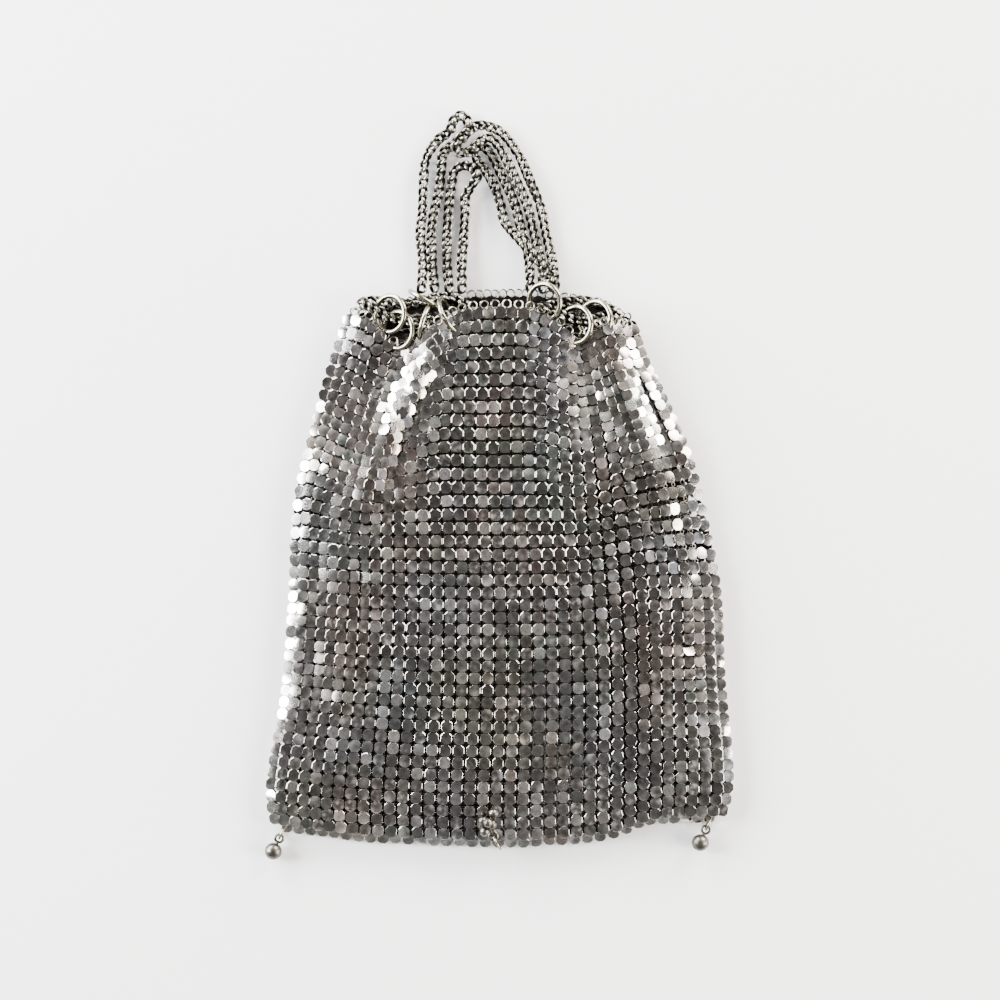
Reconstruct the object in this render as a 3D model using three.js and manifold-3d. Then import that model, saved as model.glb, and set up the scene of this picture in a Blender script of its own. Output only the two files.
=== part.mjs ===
// A drawstring evening purse of flat metal mesh, lying on its back.
// The mesh is a pouch of small plates linked into a supple metal cloth. Eight
// rings run through its mouth, a draw chain runs through the rings, and two
// pairs of chain loops make the handle. Small drops hang from the bottom edge.
// Millimetres. +Z is up out of the surface it lies on, +Y runs from the bottom
// edge to the handle, and X = 0 is the middle of the bottom edge.

import * as THREE from "three";
import { mergeVertices } from "three/addons/utils/BufferGeometryUtils.js";
import Module from "manifold-3d";

const wasm = await Module();
wasm.setup();

// Driving dimensions of the pouch
const BODY_LENGTH = 162;
const BODY_WIDTH = 140;
const BODY_DEPTH = 11;
const WALL = 1.2;
const HEM_SOLID = 3.4;
const SIDE_DEPTH = 5.6;
const FOLD_HEIGHT = 4;
const GATHER_DROP = 11;
const BACK_RISE = 4.2;

// Rings, chains and drops
const RING_RADIUS = 5.4;
const RING_WIRE = 1.2;
const RING_HEIGHT = 8.2;
const CHAIN_DIAMETER = 3;
const DROP_BALL = 5;
const GRAPE_BALL = 2.3;
const EYE_RADIUS = 1.2;
const EYE_WIRE = 0.8;
const JUMP_RADIUS = 1.9;
const JUMP_WIRE = 0.7;
const CLEARANCE = 0.35;
const SEAT = 0.3;

// The drops at the two bottom corners: the column they hang from, their hole in the hem
// measured from the corner, and the way they point in degrees about Z from +X.
const NECK_LENGTH = 0.5;
const DROPS = [
  { name: "left", column: 0, inX: 1.0, inY: 1.2, heading: -115 },
  { name: "right", column: 35, inX: -1.4, inY: 1.3, heading: -113 },
];

// The middle drop, a bunch of small balls: its middle, its eye and its top ball measured
// from the middle of the bottom edge, then the balls round its middle.
const GRAPE = { x: -3.6, up: 7.2, eyeX: 1.6, eyeUp: -3.4, top: 4.5 };
const GRAPE_RING = { radius: 2.4, heading: -62, rise: 25 };
const GRAPE_BALLS = [
  { right: 1.3, up: 3.0, out: 0.1 },
  { right: -1.2, up: 1.2, out: 0.1 },
  { right: 0.9, up: 0.4, out: 0.3 },
  { right: -0.8, up: -1.3, out: 0.0 },
  { right: 0.0, up: 0.9, out: 1.2 },
];
const STEM_RADIUS = 0.45;

// Mesh resolution
const RING_SIDES = 12;
const WIRE_SIDES = 6;
const TUBE_SIDES = 8;
const BALL_SIDES = 12;
const GRAPE_SIDES = 8;
const BALL_ROWS = 0.7;
const COLUMN_STEP = 0.25;
const PLATE_COLUMNS = 35;
const FRONT_STEPS = 35;
const BACK_STEPS = 12;
const SIDE_STEPS = 3;
const LENGTH_STEPS = 23;
// Above 1, rows of mesh crowd towards the bottom edge.
const STEP_CROWDING = 1.1;

// How the front swells between its sides, and the shares of the width and of the length
// over which the folds die away towards the sides and the bottom edge.
const CROWN_POWER = 0.8;
const SIDE_FADE = 0.12;
const HEM_FADE = 0.05;
// The share up from which the rows bend into the drawn front edge.
const EDGE_BLEND = 0.85;

const halfWidth = BODY_WIDTH / 2;

// Where chosen columns of plates run, one row for each section up the front.
// up is a share of BODY_LENGTH. The others are shares of half the width, from
// the left side through the left gather, the middle and the right gather.
const SECTIONS = [
  { up: 0.0, left: -0.94, panel: -0.65, fold: -0.49, near: -0.265, middle: -0.038, far: 0.19, gather: 0.415, ridge: 0.64, right: 0.925 },
  { up: 0.08, left: -0.963, panel: -0.665, fold: -0.5, near: -0.274, middle: -0.045, far: 0.184, gather: 0.412, ridge: 0.64, right: 0.96 },
  { up: 0.28, left: -0.895, panel: -0.62, fold: -0.465, near: -0.247, middle: -0.025, far: 0.197, gather: 0.418, ridge: 0.64, right: 0.925 },
  { up: 0.46, left: -0.865, panel: -0.6, fold: -0.45, near: -0.238, middle: -0.025, far: 0.188, gather: 0.4, ridge: 0.63, right: 0.905 },
  { up: 0.58, left: -0.855, panel: -0.6, fold: -0.455, near: -0.245, middle: -0.038, far: 0.17, gather: 0.375, ridge: 0.6, right: 0.85 },
  { up: 0.66, left: -0.83, panel: -0.585, fold: -0.455, near: -0.255, middle: -0.05, far: 0.155, gather: 0.36, ridge: 0.575, right: 0.8 },
  { up: 0.74, left: -0.787, panel: -0.545, fold: -0.44, near: -0.262, middle: -0.055, far: 0.148, gather: 0.35, ridge: 0.545, right: 0.74 },
  { up: 0.88, left: -0.71, panel: -0.475, fold: -0.38, near: -0.238, middle: -0.045, far: 0.155, gather: 0.33, ridge: 0.475, right: 0.624 },
  { up: 1.0, left: -0.624, panel: -0.42, fold: -0.315, near: -0.2, middle: -0.02, far: 0.175, gather: 0.325, ridge: 0.42, right: 0.547 },
];
const SECTION_COLUMNS = { left: 0, panel: 6, fold: 9, near: 13, middle: 17, far: 21, gather: 25, ridge: 29, right: 35 };

// How far the gathers lift the rows of plates at the same columns, or draw them down, up
// to the last rows below the mouth: shares of GATHER_DROP.
const ROW_LIFTS = [
  { up: 0.5, left: 0, panel: 0, fold: 0, near: 0, middle: 0, far: 0, gather: 0, ridge: 0, right: 0 },
  { up: 0.58, left: 0.1, panel: -0.05, fold: -0.05, near: 0, middle: 0, far: 0, gather: 0, ridge: 0.1, right: 0.3 },
  { up: 0.66, left: 0.2, panel: -0.25, fold: -0.2, near: 0, middle: 0, far: 0, gather: -0.1, ridge: 0.25, right: 0.6 },
  { up: 0.74, left: 0.1, panel: -0.45, fold: -0.35, near: 0, middle: 0, far: 0, gather: -0.3, ridge: 0.1, right: 0.5 },
  { up: 0.88, left: -0.1, panel: -0.8, fold: -0.55, near: -0.05, middle: 0, far: 0, gather: -0.6, ridge: -0.35, right: 0 },
  { up: 1.0, left: -0.14, panel: -1.04, fold: -0.7, near: -0.1, middle: 0, far: 0, gather: -0.85, ridge: -0.5, right: -0.5 },
];

// How full the purse is, up its length: a share of BODY_DEPTH.
const FULLNESS = [
  { up: 0.0, depth: 0.3 },
  { up: 0.05, depth: 0.55 },
  { up: 0.14, depth: 0.74 },
  { up: 0.35, depth: 0.84 },
  { up: 0.65, depth: 0.88 },
  { up: 0.85, depth: 0.94 },
  { up: 1.0, depth: 1.0 },
];

// The bottom edge: how far it stands above the lowest point, a share of BODY_LENGTH.
const BOTTOM_EDGE = [
  { column: 0, rise: 0.03 },
  { column: 4, rise: 0.018 },
  { column: 10, rise: 0.006 },
  { column: 17, rise: 0.0 },
  { column: 22, rise: 0.004 },
  { column: 26, rise: 0.014 },
  { column: 28, rise: 0.03 },
  { column: 30, rise: 0.042 },
  { column: 35, rise: 0.046 },
];

// The front edge of the mouth: how far each column is drawn down by the gathers,
// a share of GATHER_DROP.
const FRONT_EDGE = [
  { column: 0, drop: 0.14 },
  { column: 1.5, drop: 0.24 },
  { column: 2.6, drop: 0.34 },
  { column: 3.3, drop: 0.55 },
  { column: 4, drop: 0.78 },
  { column: 5, drop: 0.95 },
  { column: 6.2, drop: 1.04 },
  { column: 7.6, drop: 0.9 },
  { column: 9, drop: 0.7 },
  { column: 11, drop: 0.45 },
  { column: 12.4, drop: 0.25 },
  { column: 14, drop: 0.08 },
  { column: 16, drop: 0.0 },
  { column: 19, drop: 0.0 },
  { column: 21, drop: 0.12 },
  { column: 23, drop: 0.45 },
  { column: 25, drop: 0.85 },
  { column: 27, drop: 0.72 },
  { column: 29, drop: 0.5 },
  { column: 32, drop: 0.42 },
  { column: 35, drop: 0.5 },
];

// The back edge of the mouth: how far it stands above the front one, a share of BACK_RISE.
const BACK_EDGE = [
  { across: -1, rise: -0.4 },
  { across: -0.7, rise: 0.3 },
  { across: -0.3, rise: 0.8 },
  { across: 0, rise: 1.0 },
  { across: 0.4, rise: 0.95 },
  { across: 0.8, rise: 0.25 },
  { across: 1, rise: -0.65 },
];

// Folds of the front: each a ridge (height above 0) or a valley (below 0) along its
// stations. up is a share of BODY_LENGTH, across of half the width and height of
// FOLD_HEIGHT. spread is the fold's half width.
const FOLDS = [
  {
    name: "left gather ridge",
    spread: 4.8,
    stations: [
      { up: 0.6, across: -0.63, height: 0 },
      { up: 0.64, across: -0.59, height: 0.4 },
      { up: 0.67, across: -0.566, height: 0.7 },
      { up: 0.74, across: -0.527, height: 0.9 },
      { up: 0.79, across: -0.49, height: 1.0 },
      { up: 0.84, across: -0.425, height: 1.0 },
      { up: 0.887, across: -0.37, height: 1.1 },
      { up: 0.937, across: -0.28, height: 1.0 },
      { up: 1.0, across: -0.25, height: 0.8 },
    ],
  },
  {
    name: "left gather valley",
    spread: 2.2,
    stations: [
      { up: 0.62, across: -0.6, height: 0 },
      { up: 0.645, across: -0.57, height: -0.4 },
      { up: 0.68, across: -0.5, height: -0.7 },
      { up: 0.74, across: -0.45, height: -0.85 },
      { up: 0.81, across: -0.39, height: -0.85 },
      { up: 0.854, across: -0.343, height: -0.8 },
      { up: 0.904, across: -0.255, height: -0.7 },
      { up: 1.0, across: -0.19, height: -0.35 },
    ],
  },
  {
    name: "left notch",
    spread: 5.2,
    stations: [
      { up: 0.8, across: -0.56, height: 0 },
      { up: 0.9, across: -0.49, height: -0.35 },
      { up: 1.0, across: -0.43, height: -0.65 },
    ],
  },
  {
    name: "left cross crease",
    spread: 9.0,
    stations: [
      { up: 0.555, across: -0.7, height: 0 },
      { up: 0.595, across: -0.7, height: -0.2 },
      { up: 0.635, across: -0.68, height: 0 },
    ],
  },
  {
    name: "left side hollow",
    spread: 3.6,
    stations: [
      { up: 0.1, across: -0.83, height: -0.1 },
      { up: 0.3, across: -0.8, height: -0.32 },
      { up: 0.5, across: -0.78, height: -0.3 },
      { up: 0.56, across: -0.78, height: 0 },
    ],
  },
  {
    name: "left side ridge",
    spread: 4.2,
    stations: [
      { up: 0.12, across: -0.7, height: 0 },
      { up: 0.28, across: -0.68, height: 0.22 },
      { up: 0.5, across: -0.66, height: 0.28 },
      { up: 0.56, across: -0.64, height: 0 },
    ],
  },
  {
    name: "right inner ridge",
    spread: 3.0,
    stations: [
      { up: 0.55, across: 0.5, height: 0 },
      { up: 0.62, across: 0.52, height: 0.3 },
      { up: 0.7, across: 0.54, height: 0.4 },
      { up: 0.78, across: 0.47, height: 0 },
    ],
  },
  {
    name: "right gather valley",
    spread: 4.0,
    stations: [
      { up: 0.6, across: 0.47, height: 0 },
      { up: 0.7, across: 0.46, height: -0.3 },
      { up: 0.77, across: 0.43, height: -0.6 },
      { up: 0.84, across: 0.39, height: -0.85 },
      { up: 1.0, across: 0.34, height: -0.9 },
    ],
  },
  {
    name: "right side ridge",
    spread: 4.2,
    stations: [
      { up: 0.04, across: 0.83, height: 0 },
      { up: 0.13, across: 0.82, height: 0.35 },
      { up: 0.3, across: 0.81, height: 0.45 },
      { up: 0.5, across: 0.78, height: 0.55 },
      { up: 0.62, across: 0.7, height: 0.7 },
      { up: 0.72, across: 0.6, height: 0.8 },
      { up: 0.85, across: 0.53, height: 0.7 },
      { up: 1.0, across: 0.45, height: 0.5 },
    ],
  },
  {
    name: "right side crease",
    spread: 2.0,
    stations: [
      { up: 0.48, across: 0.84, height: 0 },
      { up: 0.6, across: 0.78, height: -0.3 },
      { up: 0.72, across: 0.68, height: -0.45 },
      { up: 0.85, across: 0.6, height: -0.35 },
      { up: 0.95, across: 0.53, height: 0 },
    ],
  },
  {
    name: "middle ripple",
    spread: 3.2,
    stations: [
      { up: 0.86, across: 0.06, height: 0 },
      { up: 0.93, across: 0.05, height: 0.2 },
      { up: 1.0, across: 0.04, height: 0.28 },
    ],
  },
  {
    name: "hem wave",
    spread: 6.0,
    stations: [
      { up: 0.0, across: 0.5, height: 0.15 },
      { up: 0.1, across: 0.5, height: 0.22 },
      { up: 0.25, across: 0.48, height: 0 },
    ],
  },
];

// Rings: x and above are the centre, measured from the middle of the mouth line. turn is
// the ring's turn about Z away from facing along X and lean its lean towards lying flat,
// both in degrees. lift is added to RING_HEIGHT.
const RINGS = [
  { name: "ring_left_outer", x: -32.8, above: -2.1, lift: 0, turn: 0, lean: -56 },
  { name: "ring_left_second", x: -30.4, above: -7, lift: 0, turn: 0, lean: -56 },
  { name: "ring_left_third", x: -22.2, above: -5, lift: 0, turn: -17, lean: 8 },
  { name: "ring_left_inner", x: -15.2, above: -2.8, lift: 0, turn: 29, lean: 16 },
  { name: "ring_left_back", x: -22.2, above: 2.2, lift: -2.1, turn: 60, lean: 4 },
  { name: "ring_right_inner", x: 13.2, above: 1.4, lift: 0.4, turn: 18, lean: -56 },
  { name: "ring_right_second", x: 22.6, above: -5.4, lift: 0, turn: 0, lean: -56 },
  { name: "ring_right_outer", x: 28.3, above: -3.8, lift: 0, turn: 0, lean: -56 },
];

// The routes of the chains, each point [x, above, z], above measured from the mouth line.
// The draw chain is a closed loop through the rings and round the mouth.
const DRAW_CHAIN_ROUTE = [
  [-41.6, 1.4, 6.0],
  [-38.2, -0.2, 9.0],
  [-33.0, -3.4, 9.0],
  [-28.4, -4.8, 8.1],
  [-22.4, -4.5, 8.0],
  [-16.2, -3.0, 7.4],
  [-10.6, -3.5, 5.1],
  [-5.6, -5.2, 3.4],
  [0.0, -5.6, 3.2],
  [4.2, -4.6, 5.0],
  [8.2, -1.9, 8.2],
  [12.8, 0, 7.9],
  [16.6, -1.2, 7.6],
  [20.4, -3.4, 8.6],
  [24.6, -4.4, 8.0],
  [29.4, -3.2, 8.0],
  [34.0, -1.2, 5.4],
  [29.6, 1.6, 3.5],
  [21.0, 2.0, 3.2],
  [14.0, 0.6, 3.1],
  [8.0, -1.2, 3.1],
  [0.0, -1.6, 3.1],
  [-7.6, -1.2, 3.1],
  [-11.4, 1.8, 3.1],
  [-15.4, 3.4, 3.1],
  [-18.6, 3.2, 3.4],
  [-22.2, 2.4, 4.2],
  [-26.6, 1.4, 3.6],
  [-32.0, 1.4, 3.2],
  [-37.6, 2.2, 3.2],
];

// The handle: two chain loops from each gather, laid together at the top.
const HANDLE_ROUTES = {
  handle_left_outer: [
    [-23.6, 5.2, 3.0],
    [-23.2, 13, 1.8],
    [-24.0, 22.5, 1.75],
    [-23.3, 28.8, 1.75],
    [-23.0, 38, 1.75],
    [-22.3, 45, 1.75],
    [-18.8, 50.6, 1.75],
    [-15.2, 53.4, 1.75],
    [-13.6, 57.0, 1.75],
    [-11.4, 58.0, 1.75],
    [-9.7, 56.2, 1.75],
    [-10.3, 52.4, 1.75],
    [-13.4, 49.8, 1.75],
    [-17.0, 46.8, 1.75],
    [-17.7, 41.6, 1.75],
    [-18.4, 35, 1.75],
    [-20.0, 28, 1.75],
    [-20.6, 22, 1.9],
    [-20.4, 14, 3.2],
    [-19.6, 5.2, 3.0],
  ],
  handle_left_inner: [
    [-15.2, 5.2, 3.0],
    [-16.0, 14, 1.8],
    [-15.8, 24, 1.75],
    [-15.2, 32, 1.75],
    [-14.5, 38, 1.75],
    [-13.6, 41.6, 1.75],
    [-11.0, 43.0, 2.0],
    [-8.0, 41.8, 4.2],
    [-7.0, 39.0, 5.0],
    [-8.8, 36.4, 3.6],
    [-10.4, 33.6, 1.75],
    [-10.4, 28.5, 1.75],
    [-10.8, 22, 1.75],
    [-11.5, 14, 1.9],
    [-11.4, 5.2, 3.0],
  ],
  handle_right_outer: [
    [16.8, 5.2, 3.0],
    [15.8, 14, 1.8],
    [14.0, 22.3, 1.75],
    [12.2, 30.6, 1.75],
    [8.9, 38.7, 1.75],
    [5.4, 46.7, 1.75],
    [0.4, 53.0, 1.75],
    [-3.7, 54.8, 1.8],
    [-7.2, 54.4, 4.5],
    [-10.2, 52.2, 5.1],
    [-12.8, 49.6, 5.1],
    [-12.4, 46.6, 5.1],
    [-9.2, 46.8, 5.1],
    [-6.2, 49.6, 5.1],
    [-3.4, 51.0, 4.3],
    [-0.6, 48.8, 3.6],
    [1.4, 45.6, 3.6],
    [4.6, 38.7, 3.7],
    [8.1, 31.1, 3.5],
    [9.9, 24.4, 1.9],
    [11.4, 18, 1.8],
    [12.6, 12.4, 1.8],
    [12.9, 5.2, 3.0],
  ],
  handle_right_inner: [
    [9.0, 5.2, 3.0],
    [8.9, 13, 1.8],
    [7.9, 19, 1.75],
    [6.0, 25.4, 1.75],
    [4.4, 31.6, 1.75],
    [1.8, 37.6, 1.75],
    [-0.4, 42.1, 1.75],
    [-2.1, 45.6, 1.75],
    [-4.1, 48.1, 1.75],
    [-6.4, 49.0, 1.6],
    [-8.0, 47.2, 1.75],
    [-6.8, 44.6, 1.75],
    [-4.0, 41.0, 1.75],
    [-1.6, 36.6, 1.75],
    [0.2, 31, 1.75],
    [1.3, 26.4, 1.9],
    [4.4, 22.0, 5.1],
    [9.3, 16.6, 5.3],
    [14.8, 9.6, 6.2],
    [15.6, 5.4, 6.2],
  ],
};
const HANDLE_STEPS = 31;
const DRAW_CHAIN_STEPS = 44;

function mix(a, b, t) {
  return a + (b - a) * t;
}

// A smooth reading of a short table: at key = at, the value in column name.
function read(table, key, name, at) {
  const last = table.length - 1;
  if (at <= table[0][key]) return table[0][name];
  if (at >= table[last][key]) return table[last][name];
  let i = 0;
  while (at > table[i + 1][key]) i += 1;
  const before = table[Math.max(i - 1, 0)];
  const low = table[i];
  const high = table[i + 1];
  const after = table[Math.min(i + 2, last)];
  const span = high[key] - low[key];
  const t = (at - low[key]) / span;
  const slopeLow = ((high[name] - before[name]) / (high[key] - before[key])) * span;
  const slopeHigh = ((after[name] - low[name]) / (after[key] - low[key])) * span;
  const t2 = t * t;
  const t3 = t2 * t;
  return (
    (2 * t3 - 3 * t2 + 1) * low[name] +
    (t3 - 2 * t2 + t) * slopeLow +
    (3 * t2 - 2 * t3) * high[name] +
    (t3 - t2) * slopeHigh
  );
}

// Reads a table of sections at a column of plates and a share up the front.
function readSections(table, column, up) {
  const stations = Object.entries(SECTION_COLUMNS).map(([name, at]) => ({
    column: at,
    value: read(table, "up", name, up),
  }));
  return read(stations, "column", "value", column);
}

function columnX(column, up) {
  return readSections(SECTIONS, column, up) * halfWidth;
}

// How far a row of plates is lifted at a column, blended into the drawn front edge.
function rowLift(column, up) {
  const lift = readSections(ROW_LIFTS, column, up);
  const edge = -read(FRONT_EDGE, "column", "drop", column);
  const share = THREE.MathUtils.smoothstep(up, EDGE_BLEND, 1);
  return mix(lift, edge, share) * GATHER_DROP;
}

// How high the folds stand at a place across and up the front.
function foldHeight(x, up) {
  let height = 0;
  for (const { spread, stations } of FOLDS) {
    const first = stations[0].up;
    const last = stations[stations.length - 1].up;
    if (up < first || (up > last && last < 1)) continue;
    const off = (x - read(stations, "up", "across", up) * halfWidth) / spread;
    height += read(stations, "up", "height", up) * Math.exp(-off * off);
  }
  return height * FOLD_HEIGHT;
}

// How deep the pouch is at a share up its length, and how deep its rolled side is.
function depthAt(up) {
  return read(FULLNESS, "up", "depth", up) * BODY_DEPTH;
}

function sideDepthAt(up) {
  return Math.min(SIDE_DEPTH, depthAt(up));
}

// The front face: a point for a column and a share v from the bottom edge to the mouth.
function frontPoint(column, v) {
  const bottom = read(BOTTOM_EDGE, "column", "rise", column) * BODY_LENGTH;
  const x = columnX(column, v);
  const y = mix(bottom, BODY_LENGTH, v) + rowLift(column, v);
  const across = (2 * column) / PLATE_COLUMNS - 1;
  const side = sideDepthAt(v);
  const crown = (1 - across ** 4) ** CROWN_POWER;
  const fade = Math.min(1, (1 - Math.abs(across)) / SIDE_FADE, v / HEM_FADE);
  return new THREE.Vector3(x, y, side + (depthAt(v) - side) * crown + foldHeight(x, v) * fade);
}

// The back face, flat where it rests: across runs from -1 at the left to 1 at the right.
function backPoint(across, v) {
  const column = ((across + 1) / 2) * PLATE_COLUMNS;
  const bottom = read(BOTTOM_EDGE, "column", "rise", column) * BODY_LENGTH;
  const top = BODY_LENGTH + read(BACK_EDGE, "across", "rise", across) * BACK_RISE;
  const x = mix(columnX(0, v), columnX(PLATE_COLUMNS, v), (across + 1) / 2);
  return new THREE.Vector3(x, mix(bottom, top, v), 0);
}

// The rolled side between the front and the back, from the front down. sign is -1 at the
// left and 1 at the right.
function sidePoints(v, sign, inset) {
  const front = frontPoint(sign < 0 ? 0 : PLATE_COLUMNS, v);
  const back = backPoint(sign, v);
  const middleZ = sideDepthAt(v) / 2;
  const radius = middleZ - inset;
  const points = [];
  for (let k = 1; k <= SIDE_STEPS; k += 1) {
    const share = k / (SIDE_STEPS + 1);
    const angle = Math.PI * share;
    const x = front.x + sign * (Math.sin(angle) * radius - inset);
    points.push(new THREE.Vector3(x, mix(front.y, back.y, share), middleZ + radius * Math.cos(angle)));
  }
  return points;
}

// One closed ring of points round the pouch at a share v, drawn in by inset.
function pouchLoop(v, inset) {
  const loop = [];
  for (let i = 0; i <= FRONT_STEPS; i += 1) {
    const p = frontPoint((i * PLATE_COLUMNS) / FRONT_STEPS, v);
    const inward = i === 0 ? inset : i === FRONT_STEPS ? -inset : 0;
    loop.push(new THREE.Vector3(p.x + inward, p.y, p.z - inset));
  }
  loop.push(...sidePoints(v, 1, inset));
  for (let i = 0; i <= BACK_STEPS; i += 1) {
    const p = backPoint(1 - (2 * i) / BACK_STEPS, v);
    const inward = i === 0 ? -inset : i === BACK_STEPS ? inset : 0;
    loop.push(new THREE.Vector3(p.x + inward, p.y, inset));
  }
  loop.push(...sidePoints(v, -1, inset).reverse());
  return loop;
}

// Adds the strip of faces between two loops of equal length.
function addStrip(faces, from, to, count) {
  for (let i = 0; i < count; i += 1) {
    const j = (i + 1) % count;
    faces.push(from + i, from + j, to + j, from + i, to + j, to + i);
  }
}

function addCap(faces, points, start, count, flip) {
  const outline = points.slice(start, start + count).map((p) => new THREE.Vector2(p.x, p.z));
  for (const [a, b, c] of THREE.ShapeUtils.triangulateShape(outline, [])) {
    if (flip) faces.push(start + a, start + c, start + b);
    else faces.push(start + a, start + b, start + c);
  }
}

function geometryOf(points, faces) {
  const geometry = new THREE.BufferGeometry();
  geometry.setFromPoints(points);
  geometry.setIndex(faces);
  return geometry;
}

// The pouch: an outer skin, an inner skin WALL inside it, and the rim that joins them at the mouth.
function pouchGeometry() {
  const points = [];
  const outer = [];
  const inner = [];
  const cavityFloor = HEM_SOLID / BODY_LENGTH;
  for (let j = 0; j <= LENGTH_STEPS; j += 1) {
    const v = (j / LENGTH_STEPS) ** STEP_CROWDING;
    outer.push(points.length);
    points.push(...pouchLoop(v, 0));
  }
  for (let j = 0; j < LENGTH_STEPS; j += 1) {
    const v = mix(cavityFloor, 1, (j / (LENGTH_STEPS - 1)) ** STEP_CROWDING);
    inner.push(points.length);
    points.push(...pouchLoop(v, WALL));
  }
  const count = outer[1];
  const faces = [];
  for (let j = 0; j + 1 < outer.length; j += 1) addStrip(faces, outer[j], outer[j + 1], count);
  for (let j = 0; j + 1 < inner.length; j += 1) addStrip(faces, inner[j + 1], inner[j], count);
  addStrip(faces, outer.at(-1), inner.at(-1), count);
  addCap(faces, points, outer[0], count, false);
  addCap(faces, points, inner[0], count, true);
  return geometryOf(points, faces);
}

// A geometry as a solid for cutting and joining, and back again.
function solidOf(geometry) {
  const bare = geometry.clone();
  bare.deleteAttribute("normal");
  bare.deleteAttribute("uv");
  const merged = mergeVertices(bare, 1e-4);
  return new wasm.Manifold(
    new wasm.Mesh({
      numProp: 3,
      vertProperties: merged.attributes.position.array,
      triVerts: new Uint32Array(merged.index.array),
    }),
  );
}

function geometryFrom(solid) {
  const mesh = solid.getMesh();
  const geometry = new THREE.BufferGeometry();
  geometry.setAttribute("position", new THREE.BufferAttribute(new Float32Array(mesh.vertProperties), 3));
  geometry.setIndex(new THREE.BufferAttribute(new Uint32Array(mesh.triVerts), 1));
  return geometry;
}

// A wire ring about the origin that faces along X, turned about Z and leaned over.
function wireRing({ radius, wire, turn, lean = 0, at }) {
  const geometry = new THREE.TorusGeometry(radius, wire / 2, WIRE_SIDES, RING_SIDES);
  geometry.rotateY(Math.PI / 2);
  geometry.rotateY(-THREE.MathUtils.degToRad(lean));
  geometry.rotateZ(THREE.MathUtils.degToRad(turn));
  geometry.translate(at.x, at.y, at.z);
  return geometry;
}

function ringPlace({ x, above, lift }) {
  return new THREE.Vector3(x, BODY_LENGTH + above, RING_HEIGHT + lift);
}

function circleShape(radius, sides) {
  const points = [];
  for (let i = 0; i < sides; i += 1) {
    const angle = (2 * Math.PI * i) / sides;
    points.push(new THREE.Vector2(radius * Math.cos(angle), radius * Math.sin(angle)));
  }
  return new THREE.Shape(points);
}

function stemSolid(from, to) {
  const extrudePath = new THREE.LineCurve3(from, to);
  return solidOf(new THREE.ExtrudeGeometry(circleShape(STEM_RADIUS, WIRE_SIDES), { steps: 1, extrudePath }));
}

function ballSolid(at, diameter, sides) {
  const ball = new THREE.SphereGeometry(diameter / 2, sides, Math.round(sides * BALL_ROWS));
  ball.translate(at.x, at.y, at.z);
  return solidOf(ball);
}

function eyeSolid(at) {
  const eye = new THREE.TorusGeometry(EYE_RADIUS, EYE_WIRE / 2, WIRE_SIDES, RING_SIDES);
  eye.translate(at.x, at.y, at.z);
  return solidOf(eye);
}

// A corner drop hangs from a hole in the hem: first the jump ring, then the eye, then the ball.
function dropPlaces({ column, inX, inY, heading }) {
  const angle = THREE.MathUtils.degToRad(heading);
  const away = new THREE.Vector3(Math.cos(angle), Math.sin(angle), 0);
  const hole = frontPoint(column, 0).add(new THREE.Vector3(inX, inY, 0));
  hole.z = JUMP_RADIUS + JUMP_WIRE / 2;
  const jump = hole.clone().addScaledVector(away, JUMP_RADIUS);
  const eye = hole.clone().addScaledVector(away, 2 * JUMP_RADIUS);
  const ball = eye.clone().addScaledVector(away, EYE_RADIUS + NECK_LENGTH + DROP_BALL / 2);
  ball.z = DROP_BALL / 2;
  return { away, jump, eye, ball };
}

function dropGeometry(drop) {
  const { away, eye, ball } = dropPlaces(drop);
  const eyeEdge = eye.clone().addScaledVector(away, EYE_RADIUS);
  const neck = stemSolid(eyeEdge, ball);
  return geometryFrom(ballSolid(ball, DROP_BALL, BALL_SIDES).add(neck).add(eyeSolid(eye)));
}

function jumpRing(drop, extra = 0) {
  return wireRing({
    radius: JUMP_RADIUS,
    wire: JUMP_WIRE + 2 * extra,
    turn: drop.heading + 90,
    at: dropPlaces(drop).jump,
  });
}

// Height of the front face over a point.
function frontHeightAt(x, y) {
  const v = y / BODY_LENGTH;
  let column = 0;
  while (column < PLATE_COLUMNS && columnX(column, v) < x) column += COLUMN_STEP;
  return frontPoint(column, v).z;
}

// The middle drop lies turned up on the front, above the ring that holds it.
function grapePlaces() {
  const { x, up, eyeX, eyeUp, top } = GRAPE;
  const under = Math.max(frontHeightAt(x, up), frontHeightAt(x, up + top));
  const centre = new THREE.Vector3(x, up, under + GRAPE_BALL / 2 + SEAT);
  const eye = new THREE.Vector3(x + eyeX, up + eyeUp, 0);
  eye.z = frontHeightAt(eye.x, eye.y) + EYE_RADIUS;
  const angle = THREE.MathUtils.degToRad(GRAPE_RING.heading);
  const rise = THREE.MathUtils.degToRad(GRAPE_RING.rise);
  const reach = GRAPE_RING.radius * Math.cos(rise);
  const ring = eye.clone().add(new THREE.Vector3(reach * Math.cos(angle), reach * Math.sin(angle), 0));
  ring.z -= GRAPE_RING.radius * Math.sin(rise);
  return { centre, eye, ring };
}

function grapeGeometry() {
  const { centre, eye } = grapePlaces();
  const eyeEdge = eye.clone().lerp(centre, EYE_RADIUS / eye.distanceTo(centre));
  let bunch = eyeSolid(eye).add(stemSolid(eyeEdge, centre));
  for (const { right, up, out } of GRAPE_BALLS) {
    const at = centre.clone().add(new THREE.Vector3(right, up, out));
    bunch = bunch.add(ballSolid(at, GRAPE_BALL, GRAPE_SIDES)).add(stemSolid(centre, at));
  }
  return geometryFrom(bunch);
}

function grapeRing(extra = 0) {
  return wireRing({
    radius: GRAPE_RING.radius,
    wire: JUMP_WIRE + 2 * extra,
    turn: GRAPE_RING.heading + 90,
    at: grapePlaces().ring,
  });
}

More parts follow.
